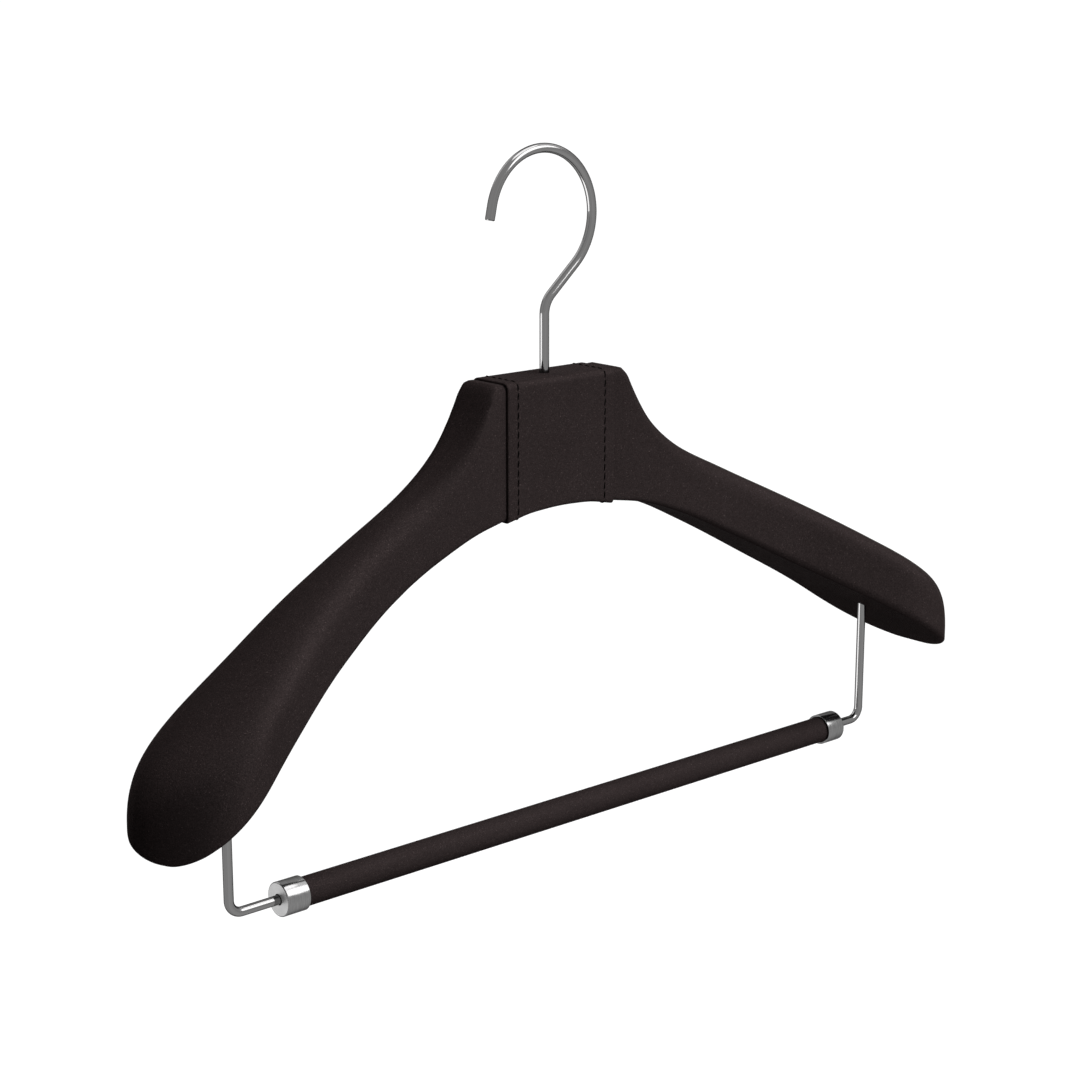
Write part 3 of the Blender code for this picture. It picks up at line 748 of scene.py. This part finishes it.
def turned_metal(name, colour, roughness):
    """Turned metal of the fittings inside the neck, with faint rings from the lathe."""
    ring_rates, ring_depth = (90.0, 90.0, 5200.0), 0.00002
    tone_rate, tones = 260.0, (0.90, 1.06)
    material, tree, shader = new_material(name, {"Metallic": 1.0})
    place = object_place(tree)
    rings = noise(tree, stretched(tree, place, ring_rates), 1.0, detail=3.0, roughness=0.6)
    tone = vary(tree, noise(tree, place, tone_rate, detail=3.0), *tones)
    rough = vary(tree, rings, *roughness)
    link_looks(tree, shader, tinted(tree, colour, tone), rough, bump(tree, rings, ring_depth))
    return material


def wood(name, pale, dark):
    """Beech, with its grain along X and its short dark flecks."""
    grain_rates, grain_range, grain_share = (9.0, 260.0, 260.0), (0.35, 0.70), (0.0, 0.55)
    fleck_rates, fleck_range, fleck_share = (420.0, 2600.0, 2600.0), (0.62, 0.70), (0.0, 1.0)
    roughness, depth = (0.50, 0.68), 0.00005
    material, tree, shader = new_material(name, {"Specular IOR Level": 0.35})
    place = object_place(tree)
    grain = noise(tree, stretched(tree, place, grain_rates), 1.0, detail=5.0, roughness=0.6)
    flecks = noise(tree, stretched(tree, place, fleck_rates), 1.0, detail=1.0)
    flecks = spread(tree, flecks, *fleck_range, *fleck_share, smooth=True)
    lines = spread(tree, grain, *grain_range, *grain_share)
    amount = maths(tree, "MAXIMUM", lines, flecks)
    colours = {"Factor": amount, "A": (*pale, 1.0), "B": (*dark, 1.0)}
    mixed = add_node(tree, "ShaderNodeMix", colours, data_type="RGBA").outputs["Result"]
    link_looks(tree, shader, mixed, vary(tree, grain, *roughness), bump(tree, amount, depth))
    return material


def moulded(name, colour):
    """Moulded nylon with a faint spark-eroded surface."""
    skin_rate, skin_depth, roughness = 3800.0, 0.00002, (0.38, 0.52)
    tone_rate, tones = 150.0, (0.95, 1.03)
    values = {"Subsurface Weight": 0.08, "Subsurface Scale": 0.002}
    material, tree, shader = new_material(name, values)
    place = object_place(tree)
    skin = noise(tree, place, skin_rate)
    tone = vary(tree, noise(tree, place, tone_rate, detail=3.0), *tones)
    rough = vary(tree, skin, *roughness)
    link_looks(tree, shader, tinted(tree, colour, tone), rough, bump(tree, skin, skin_depth))
    return material


def thread(name, colour):
    """Waxed thread, pulled in tight: fine fibres and no shine."""
    fibre_rate, fibre_depth, roughness = 9000.0, 0.00003, (0.45, 0.62)
    tone_rate, tones = 700.0, (0.75, 1.25)
    material, tree, shader = new_material(name, {"Specular IOR Level": 0.0})
    place = object_place(tree)
    fibres = noise(tree, place, fibre_rate)
    tone = vary(tree, noise(tree, place, tone_rate), *tones)
    rough = vary(tree, fibres, *roughness)
    link_looks(tree, shader, tinted(tree, colour, tone), rough, bump(tree, fibres, fibre_depth))
    return material


LEATHER = leather("arm_leather", LEATHER_COLOUR, rate=1500.0, grain_depth=0.00007)
BAND_LEATHER = leather("band_leather", LEATHER_COLOUR, rate=1500.0, grain_depth=0.00007)
BAR_LEATHER = leather("bar_leather", LEATHER_COLOUR, rate=1700.0, grain_depth=0.00007)
EDGE_PAINT = leather("leather_edge", (0.0090, 0.0065, 0.0065), rate=2600.0, grain_depth=0.00003)
THREAD = thread("black_thread", (0.0060, 0.0055, 0.0055))
STEEL = steel(
    "drawn_steel",
    (0.182, 0.180, 0.180),
    rim=0.12,
    roughness=(0.10, 0.13),
    rates=(20.0, 2.0),
    depth=0.000001,
)
FERRULE_STEEL = steel(
    "ferrule_steel",
    (0.188, 0.187, 0.187),
    rim=0.3,
    roughness=(0.16, 0.21),
    rates=(6.0, 1500.0),
    depth=0.0000008,
)
FACED_STEEL = steel(
    "ferrule_face_steel",
    (0.58, 0.58, 0.58),
    rim=0.9,
    roughness=(0.42, 0.52),
    rates=(70.0, 5200.0),
    depth=0.00001,
)
FITTING_STEEL = turned_metal("fitting_steel", (0.42, 0.42, 0.43), roughness=(0.28, 0.42))
BRASS = turned_metal("bush_brass_turned", (0.62, 0.43, 0.17), roughness=(0.24, 0.40))
WOOD = wood("beech", (0.52, 0.34, 0.18), (0.33, 0.19, 0.09))
NYLON = moulded("nylon", (0.74, 0.73, 0.69))


# Leather covers of the arms

def over_distances(length):
    """Where the points lie on the line from the front foot over the crown to the back foot."""
    scale = min(1.0, BACK_SPACING_SHARE * length / BACK_SPACING[-1])
    near = [length - distance * scale for distance in BACK_SPACING][::-1]
    count = OVER_POINTS - len(near)
    return [near[0] * (i + 1) / (count + 1) for i in range(count)] + near, scale


def back_depths(x, scale):
    """How deep the closing seam and the groove of its stitches press the leather in."""
    fade = ease(x, ARM_SEAM_START, ARM_SEAM_START + ARM_SEAM_FADE)
    fade *= 1 - ease(x, ARM_SEAM_END - ARM_SEAM_FADE, ARM_SEAM_END)
    depths = [0.0] * (OVER_POINTS - len(BACK_SPACING))
    for distance in BACK_SPACING[::-1]:
        seam = SEAM_DEPTH * dip(distance * scale - SEAM_FROM_FOOT, SEAM_HALF_WIDTH)
        groove = GROOVE_DEPTH * dip(distance * scale - ARM_STITCH_FROM_FOOT, GROOVE_HALF_WIDTH)
        depths.append((seam + groove) * fade)
    return depths


def arm_section(x, inset):
    """The right arm's section at x, as (y, z) points, all of it set in from the leather's face."""
    out = max(0.0, x - BAND_EDGE)
    blend = ease(out, 0.0, SHOULDER_BLEND_LENGTH)
    top = COVER_TOP - soft_line_at(CROWN_DROP, out) - inset
    foot = COVER_FOOT - soft_line_at(UNDERSIDE_DROP, x) + inset
    front = -COVER_HALF_DEPTH - soft_line_at(FRONT_SWEEP, out) + inset
    back = COVER_HALF_DEPTH + soft_line_at(BACK_SWELL, out) - inset
    tip_start, tip_end = ARM_TIP - TIP_LENGTH, ARM_TIP - inset
    closed = 1 - closing(x, tip_start, tip_end, TIP_PLAN_SQUARENESS)
    middle = (front + back) / 2 + TIP_SKEW * closed
    half = (back - front) / 2 * (1 - closed)
    front, back = middle - half, middle + half
    foot_radius = COVER_FOOT_RADIUS
    foot_radius += (ARM_FOOT_RADIUS - COVER_FOOT_RADIUS) * ease(out, 0.0, FOOT_BLEND_LENGTH)
    end_run = max(0.0, x - (tip_end - foot_radius))
    foot += foot_radius - math.sqrt(max(0.0, foot_radius**2 - end_run**2))
    top = foot + (top - foot) * closing(x, tip_start, tip_end, TIP_HEIGHT_SQUARENESS)

    depth, height = back - front, top - foot
    corner = max(COVER_CORNER_RADIUS - inset, LEAST_RADIUS)
    fall = min(corner + (CROWN_HEIGHT - inset - corner) * blend, CROWN_MOST_SHARE * height)
    front_blend = ease(out, 0.0, FRONT_BLEND_LENGTH)
    front_reach = corner + (CROWN_PEAK_SHARE * depth - corner) * front_blend
    back_reach = corner + ((1 - CROWN_PEAK_SHARE) * depth - corner) * blend
    squareness = ROUND + (CROWN_SQUARENESS - ROUND) * blend
    ridge_fall = FRONT_FALL + (CROWN_HEIGHT - FRONT_FALL) * ease(x, tip_start, tip_end)
    front_fall = min(corner + (ridge_fall - inset - corner) * front_blend, fall)
    front_squareness = ROUND + (FRONT_SQUARENESS - ROUND) * front_blend
    ahead = 1 - closing(x + PLAN_STEP, tip_start, tip_end, TIP_PLAN_SQUARENESS)
    turn = half / max(1 - closed, PLAN_STEP) * (ahead - closed) / PLAN_STEP
    foot_reach = min(foot_radius * math.hypot(1.0, turn), FOOT_MOST_SHARE * depth)
    foot_rise = min(foot_radius, height - fall)

    front_top = (front + front_reach, top - front_fall)
    back_top = (back - back_reach, top - fall)
    front_foot = (front + foot_reach, foot + foot_rise)
    back_foot = (back - foot_reach, foot + foot_rise)
    back_corner = quarter(back_foot, foot_reach, -foot_rise, ROUND, FOOT_POINTS)
    front_corner = quarter(front_foot, -foot_reach, -foot_rise, ROUND, FOOT_POINTS)[::-1]
    over = (
        front_corner[-1:]
        + quarter(front_top, -front_reach, front_fall, front_squareness, CROWN_POINTS)
        + quarter(back_top, back_reach, fall, squareness, CROWN_POINTS)[::-1]
        + back_corner[:1]
    )
    distances, scale = over_distances(running_lengths(over)[-1])
    over = points_at(over, distances)
    if inset == 0:
        over = pressed(over, back_depths(x, scale), closed=False)
    gap = math.dist(back_corner[-1], front_corner[0]) / (UNDER_POINTS + 1)
    under = points_at(
        [back_corner[-1], front_corner[0]], [gap * (i + 1) for i in range(UNDER_POINTS)]
    )
    return over + back_corner + under + front_corner


def arm_stations(inset):
    """Distances from the middle at which the arm's sections lie."""
    stations = [
        MIDDLE_GAP + (BAND_EDGE - MIDDLE_GAP) * i / NECK_STATIONS for i in range(NECK_STATIONS)
    ]
    tip_start, tip_end = ARM_TIP - TIP_LENGTH, ARM_TIP - inset
    x = BAND_EDGE
    while x < tip_start - ARM_STEP / 2:
        stations.append(x)
        x += SHOULDER_STEP if x < BAND_EDGE + SHOULDER_LENGTH else ARM_STEP
    for i in range(TIP_STATIONS + 1):
        angle = math.pi / 2 * TIP_END_SHARE * i / TIP_STATIONS
        stations.append(tip_start + (tip_end - tip_start) * math.sin(angle))
    return stations


def arm_rings(side, inset):
    rings = []
    for x in arm_stations(inset):
        ring = [(side * x, y, z) for y, z in arm_section(x, inset)]
        rings.append(ring[::-1] if side > 0 else ring)
    return rings


def make_arm(side, word):
    """The leather cover of one arm, and the stitches that close it along the lower back."""
    skins = [arm_rings(side, 0.0), arm_rings(side, COVER_THICKNESS)]
    mesh = loft("arm_leather_" + word, skins, (False, True))
    cover = add_object("arm_leather_" + word, mesh, [LEATHER, EDGE_PAINT])
    cut(
        cover,
        HOOK_RADIUS + SHANK_GAP,
        (0.0, 0.0, CORE_FOOT),
        (0.0, 0.0, COVER_TOP + CUT_MARGIN),
    )
    wire_x = side * BAR_WIRE_X
    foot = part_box("wire_socket_" + word)[0].z
    cut(
        cover,
        BAR_WIRE_RADIUS + SHANK_GAP,
        (wire_x, BAR_Y, foot - 2 * CUT_MARGIN),
        (wire_x, BAR_Y, foot + CUT_MARGIN / 2),
    )
    shade_round(cover.data)
    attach(cover, "hanger")
    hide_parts("cover_" + word)

    row = OVER_POINTS - 1 - min(
        range(len(BACK_SPACING)), key=lambda i: abs(BACK_SPACING[i] - ARM_STITCH_FROM_FOOT)
    )
    path, outward = [], []
    for x in arm_stations(0.0):
        if not ARM_SEAM_START + ARM_SEAM_FADE <= x <= ARM_SEAM_END - ARM_SEAM_FADE:
            continue
        section = arm_section(x, 0.0)
        (y0, z0), (y1, z1) = section[row - 1], section[row + 1]
        path.append((side * x, *section[row]))
        outward.append((0.0, z0 - z1, y1 - y0))
    stitches = stitch_row("arm_stitches_" + word, path, outward, False, THREAD)
    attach(stitches, "hanger")


# Leather band round the neck

def band_section(x, inset):
    """The band's section at x, a closed clockwise ring of (y, z) points from under its middle, and
    its length round."""
    corner, foot_corner = BAND_CORNER_RADIUS - inset, BAND_FOOT_RADIUS - inset
    half, top = NECK_DEPTH / 2 - inset, NECK_TOP - inset
    foot = NECK_TOP - NECK_HEIGHT - line_at(UNDERSIDE_DROP, abs(x)) + inset
    front_foot = (-half + foot_corner, foot + foot_corner)
    back_foot = (half - foot_corner, foot + foot_corner)
    outline = [(0.0, foot)]
    outline += quarter(front_foot, -foot_corner, -foot_corner, ROUND, CROWN_POINTS)[::-1]
    outline += quarter((-half + corner, top - corner), -corner, corner, ROUND, CROWN_POINTS)
    outline += quarter((half - corner, top - corner), corner, corner, ROUND, CROWN_POINTS)[::-1]
    outline += quarter(back_foot, foot_corner, -foot_corner, ROUND, CROWN_POINTS)
    outline.append((0.0, foot))
    length = running_lengths(outline)[-1]
    distances = [length * i / BAND_RING_POINTS for i in range(BAND_RING_POINTS)]
    return points_at(outline, distances), length


STITCH_X = BAND_EDGE - STITCH_INSET
STITCH_COUNT = round(band_section(STITCH_X, 0.0)[1] / STITCH_PITCH)


def band_depth(x, distance, length):
    """How deep the band's face is pressed in: its rounded edge, the groove and the holes."""
    edge_run = max(0.0, abs(x) - (BAND_EDGE - BAND_EDGE_ROUND))
    depth = BAND_EDGE_ROUND - math.sqrt(max(0.0, BAND_EDGE_ROUND**2 - edge_run**2))
    aside = abs(x) - STITCH_X
    depth += GROOVE_DEPTH * dip(aside, GROOVE_HALF_WIDTH)
    pitch = length / STITCH_COUNT
    from_gap = abs((distance + pitch / 2) % pitch - pitch / 2)
    from_hole = from_gap - pitch * (1 - STITCH_SHARE) / 2
    return depth + HOLE_DEPTH * dip(math.hypot(aside, from_hole), HOLE_RADIUS)


def band_stations():
    """The band's columns, close together at its edges and along its stitches."""
    half = list(BAND_COLUMNS)
    for i in range(-STITCH_COLUMN_REACH, STITCH_COLUMN_REACH + 1):
        half.append(STITCH_X + STITCH_COLUMN_STEP * i)
    half += [STITCH_X + shift for shift in OUTER_COLUMNS]
    for i in range(EDGE_STEPS + 1):
        angle = math.pi / 2 * i / EDGE_STEPS
        half.append(BAND_EDGE - BAND_EDGE_ROUND * (1 - math.sin(angle)))
    return [-x for x in half[:0:-1]] + half


def make_band():
    skins = []
    for inset in (0.0, BAND_THICKNESS):
        rings = []
        for x in band_stations():
            tuck = BAND_EDGE_TUCK if inset and abs(x) > BAND_EDGE - BAND_EDGE_ROUND else 0.0
            section, length = band_section(x, inset + tuck)
            if inset == 0:
                gap = length / BAND_RING_POINTS
                depths = [band_depth(x, i * gap, length) for i in range(BAND_RING_POINTS)]
                section = pressed(section, depths, closed=True)
            rings.append([(x, y, z) for y, z in section][::-1])
        skins.append(rings)
    mesh = loft("band_leather", skins, (False, False))
    band = add_object("band_leather", mesh, [BAND_LEATHER, BAND_LEATHER])
    cut(
        band,
        HOOK_RADIUS + SHANK_GAP,
        (0.0, 0.0, NECK_TOP - BAND_THICKNESS - SEAT_GAP / 2),
        (0.0, 0.0, NECK_TOP + CUT_MARGIN),
    )
    shade_round(band.data)
    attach(band, "hanger")
    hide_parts("neck_band")
    for side, word in ((-1, "left"), (1, "right")):
        section, length = band_section(STITCH_X, 0.0)
        count = len(section)
        path = [(side * STITCH_X, y, z) for y, z in section]
        outward = []
        for i in range(count):
            (y0, z0), (y1, z1) = section[i - 1], section[(i + 1) % count]
            outward.append((0.0, z0 - z1, y1 - y0))
        stitches = stitch_row("band_stitches_" + word, path, outward, True, THREAD)
        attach(stitches, "hanger")


# Hook and bar

def make_hook():
    centre = (HOOK_BOW_OFFSET, NECK_TOP + HOOK_BOW_RISE)
    bow = arc(centre, HOOK_BOW_RADIUS, HOOK_TIP_ANGLE, HOOK_SLANT - math.pi / 2)
    tip_fall = bow[0][1] - centre[1]
    tip = (bow[0][0] + tip_fall * math.tan(HOOK_TIP_ANGLE), centre[1])
    leave_x, leave_z = bow[-1]
    knee_z = leave_z - leave_x * math.tan(HOOK_SLANT)
    turn = math.pi / 2 - HOOK_SLANT
    knee_centre = (HOOK_KNEE_RADIUS, knee_z - HOOK_KNEE_RADIUS * math.tan(turn / 2))
    knee = arc(knee_centre, HOOK_KNEE_RADIUS, math.pi - turn, math.pi)
    line = [tip] + between(tip, bow[0], STRAIGHT_STEP) + bow
    line += between(bow[-1], knee[0], STRAIGHT_STEP) + knee
    line += between(knee[-1], (0.0, HOOK_END), STRAIGHT_STEP) + [(0.0, HOOK_END)]
    mesh = wire_mesh("steel_hook", [(x, 0.0, z) for x, z in line], HOOK_RADIUS)
    hook = add_object("steel_hook", mesh, [STEEL])
    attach(hook, "hook")
    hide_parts("hook")


def make_bar_wire(side, word):
    leg_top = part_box("bar_wire_" + word)[1].z
    bend_centre = (BAR_WIRE_X - BAR_WIRE_BEND_RADIUS, BAR_Z + BAR_WIRE_BEND_RADIUS)
    bend = arc(bend_centre, BAR_WIRE_BEND_RADIUS, 0.0, -math.pi / 2)
    end = (BAR_HALF_LENGTH - BAR_WIRE_REACH + side * BAR_SIDE_SHIFT, BAR_Z)
    top = (BAR_WIRE_X, leg_top)
    line = [top] + between(top, bend[0], STRAIGHT_STEP) + bend
    line += between(bend[-1], end, STRAIGHT_STEP) + [end]
    path = [(side * x, BAR_Y, z) for x, z in line]
    mesh = wire_mesh("steel_wire_" + word, path, BAR_WIRE_RADIUS)
    wire = add_object("steel_wire_" + word, mesh, [STEEL])
    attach(wire, "hanger")
    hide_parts("bar_wire_" + word)


def make_ferrule(side, word):
    cup = BAR_RADIUS + SEAT_GAP
    outer = cup + FERRULE_WALL
    hole = BAR_WIRE_RADIUS + SEAT_GAP
    edge, inner = FERRULE_EDGE_RADIUS, FERRULE_INNER_EDGE
    steps = [math.pi / 2 * i / EDGE_STEPS for i in range(EDGE_STEPS + 1)]
    mouth = -FERRULE_LENGTH + inner
    profile = [(-inner, hole), (0.0, hole + inner)]
    profile += [(-edge + edge * math.cos(a), outer - edge + edge * math.sin(a)) for a in steps]
    profile += [(mouth - inner * math.sin(a), outer - inner + inner * math.cos(a)) for a in steps]
    profile += [(-FERRULE_LENGTH, cup), (-FERRULE_END_WALL, cup), (-FERRULE_END_WALL, hole)]
    mesh = turned_mesh("steel_ferrule_" + word, profile, TURNED_STEPS, (0, 2))
    ferrule = add_object("steel_ferrule_" + word, mesh, [FERRULE_STEEL, FACED_STEEL])
    ferrule.location = (BAR_SIDE_SHIFT + side * BAR_HALF_LENGTH, BAR_Y, BAR_Z)
    if side < 0:
        ferrule.rotation_euler = (0.0, 0.0, math.pi)
    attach(ferrule, "bar")
    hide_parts("ferrule_" + word)


def make_bar_leather():
    """The leather tube of the bar, its butted seam along the lower back."""
    seam = BAR_SEAM_ANGLE
    even = [math.tau * i / TURNED_STEPS for i in range(TURNED_STEPS)]
    clear = BAR_SEAM_CLEAR / BAR_RADIUS
    kept = [a for a in even if abs((a - seam + math.pi) % math.tau - math.pi) > clear]
    fine = [seam + shift / BAR_RADIUS for shift in BAR_SEAM_SHIFTS]
    angles = sorted((a - seam) % math.tau for a in kept + fine)
    last = BAR_STATIONS - 1
    stations = [BAR_COVER_HALF * (2 * i / last - 1) for i in range(BAR_STATIONS)]
    skins = []
    for inset in (0.0, BAR_LEATHER_THICKNESS):
        rings = []
        for x in stations:
            ring = []
            for angle in angles:
                aside = abs((angle + math.pi) % math.tau - math.pi) * BAR_RADIUS
                depth = SEAM_DEPTH * dip(aside, SEAM_HALF_WIDTH) if inset == 0 else 0.0
                radius = BAR_RADIUS - inset - depth
                y, z = radius * math.cos(angle + seam), radius * math.sin(angle + seam)
                ring.append((BAR_SIDE_SHIFT + x, BAR_Y + y, BAR_Z + z))
            rings.append(ring)
        skins.append(rings)
    mesh = loft("bar_leather", skins, (False, False))
    shade_round(mesh)
    cover = add_object("bar_leather", mesh, [BAR_LEATHER, EDGE_PAINT])
    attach(cover, "bar")
    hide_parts("bar_cover")


# Fittings that stay as the part has them
FITTINGS = {
    "core_left": WOOD,
    "core_right": WOOD,
    "joint_dowel_front": WOOD,
    "joint_dowel_back": WOOD,
    "bar_core": WOOD,
    "hook_bush": BRASS,
    "hook_washer": FITTING_STEEL,
    "hook_nut": FITTING_STEEL,
    "wire_socket_left": NYLON,
    "wire_socket_right": NYLON,
    "bar_bush_left": NYLON,
    "bar_bush_right": NYLON,
}


def finish_fittings():
    for name, material in FITTINGS.items():
        for place in NODES[name].material_slots:
            place.material = material


# Floor, light and camera

FLOOR_DROP = 0.40
FLOOR_REACH = 400.0
FLOOR_SHADE = 0.17
FLOOR_GLOW = 0.94
# Each far lamp: the direction that it shines from and its strength. All look equally wide.
LAMPS = {
    "top": ((0.224, -0.129, 0.966), 1.55),
    "back": ((0.0, 0.819, 0.574), 0.79),
    "right": ((0.707, 0.0, 0.707), 0.50),
}
LAMP_WIDTH = math.radians(40)
# Each near lamp: its place, its width and height, its power, and the pieces if it lights only some
KEY_PLACE = (0.557, -0.816, 0.536)
KEY_SIZE = (0.87, 0.87)
KEY_POWER = 11.0
LOW_KEY_PLACE = (0.350, -0.600, -0.520)
LOW_KEY_SIZE = (0.40, 0.40)
LOW_KEY_POWER = 1.4
LOW_KEY_PIECES = ("arm_leather_left", "arm_leather_right", "band_leather", "bar_leather")
LOW_BOX_PLACE = (-0.438, 0.269, -0.360)
LOW_BOX_SIZE = (0.42, 0.56)
LOW_BOX_POWER = 3.3
LOW_BOX_PIECES = ("steel_hook", "steel_wire_right")
CAMERA_PLACE = (-0.64873, -0.72953, 0.07110)
CAMERA_AZIMUTH = -41.535
CAMERA_ELEVATION = 13.772
CAMERA_LENS = 76.27
CAMERA_SENSOR = 36.0
CAMERA_NEAR = 0.01
CAMERA_FAR = 4 * FLOOR_REACH


def shown_white(tree):
    """1 for the rays that show a background: from the camera, mirrored, or through glass."""
    path = add_node(tree, "ShaderNodeLightPath").outputs
    seen = maths(tree, "MAXIMUM", path["Is Camera Ray"], path["Is Glossy Ray"])
    return maths(tree, "MAXIMUM", seen, path["Is Transmission Ray"])


def make_world():
    world = bpy.data.worlds.new("studio")
    bpy.context.scene.world = world
    world.use_nodes = True
    tree = world.node_tree
    tree.nodes.clear()
    white = {"Color": (1.0, 1.0, 1.0, 1.0), "Strength": shown_white(tree)}
    backdrop = add_node(tree, "ShaderNodeBackground", white)
    out = add_node(tree, "ShaderNodeOutputWorld")
    tree.links.new(backdrop.outputs[0], out.inputs["Surface"])


def make_floor():
    """A wide pale floor. It takes the hanger's shadow, and shows white where nothing shades it."""
    material = bpy.data.materials.new("pale_floor")
    material.use_nodes = True
    tree = material.node_tree
    tree.nodes.clear()
    shade = (FLOOR_SHADE, FLOOR_SHADE, FLOOR_SHADE, 1.0)
    paint = add_node(tree, "ShaderNodeBsdfDiffuse", {"Color": shade})
    glow = add_node(tree, "ShaderNodeEmission", {"Color": (1.0, 1.0, 1.0, 1.0)})
    tree.links.new(maths(tree, "MULTIPLY", shown_white(tree), FLOOR_GLOW), glow.inputs["Strength"])
    both = add_node(tree, "ShaderNodeAddShader")
    tree.links.new(paint.outputs[0], both.inputs[0])
    tree.links.new(glow.outputs[0], both.inputs[1])
    out = add_node(tree, "ShaderNodeOutputMaterial")
    tree.links.new(both.outputs[0], out.inputs["Surface"])
    reach, height = FLOOR_REACH, CAD_BOX[0].z - FLOOR_DROP
    corners = [(-reach, -reach), (reach, -reach), (reach, reach), (-reach, reach)]
    mesh = bpy.data.meshes.new("floor")
    mesh.from_pydata([(x, y, height) for x, y in corners], [], [(0, 1, 2, 3)])
    add_object("floor", mesh, [material])


def make_sun(name, source, strength):
    """A far lamp. Its own place is of no matter, only the direction that it shines from."""
    lamp = bpy.data.lights.new(name, "SUN")
    lamp.energy = strength
    lamp.angle = LAMP_WIDTH
    sun = bpy.data.objects.new(name, lamp)
    sun.rotation_mode = "QUATERNION"
    sun.rotation_quaternion = Vector(source).to_track_quat("Z", "Y")
    sun.location = source
    bpy.context.scene.collection.objects.link(sun)


def make_softbox(name, place, size, shape, power):
    """A near lamp, turned towards the middle of the hanger."""
    lamp = bpy.data.lights.new(name, "AREA")
    lamp.shape = shape
    lamp.size, lamp.size_y = size
    lamp.energy = power
    box = bpy.data.objects.new(name, lamp)
    middle = Vector((0.0, BAR_Y, (CAD_BOX[0].z + CAD_BOX[1].z) / 2))
    away = Vector(place) - middle
    box.rotation_mode = "QUATERNION"
    box.rotation_quaternion = away.to_track_quat("Z", "Y")
    box.location = place
    box.visible_camera = False
    bpy.context.scene.collection.objects.link(box)
    return box


def light_only(box, names):
    """Keeps a lamp for the named pieces alone."""
    lit = bpy.data.collections.new(box.name)
    for name in names:
        lit.objects.link(bpy.data.objects[name])
    box.light_linking.receiver_collection = lit


def make_camera():
    data = bpy.data.cameras.new("camera")
    data.lens = CAMERA_LENS
    data.sensor_width = CAMERA_SENSOR
    data.clip_start = CAMERA_NEAR
    data.clip_end = CAMERA_FAR
    camera = bpy.data.objects.new("camera", data)
    camera.location = CAMERA_PLACE
    camera.rotation_euler = (
        math.radians(90 - CAMERA_ELEVATION),
        0.0,
        math.radians(CAMERA_AZIMUTH),
    )
    bpy.context.scene.collection.objects.link(camera)
    bpy.context.scene.camera = camera


make_camera()
make_world()
make_floor()
for name, (source, strength) in LAMPS.items():
    make_sun(name, source, strength)
make_softbox("key", KEY_PLACE, KEY_SIZE, "ELLIPSE", KEY_POWER)
low_key = make_softbox("low_key", LOW_KEY_PLACE, LOW_KEY_SIZE, "ELLIPSE", LOW_KEY_POWER)
low_box = make_softbox("low_box", LOW_BOX_PLACE, LOW_BOX_SIZE, "RECTANGLE", LOW_BOX_POWER)
make_band()
make_hook()
make_bar_leather()
for side, word in ((-1, "left"), (1, "right")):
    make_arm(side, word)
    make_bar_wire(side, word)
    make_ferrule(side, word)
finish_fittings()
light_only(low_key, LOW_KEY_PIECES)
light_only(low_box, LOW_BOX_PIECES)
bpy.context.scene.view_settings.view_transform = "Standard"
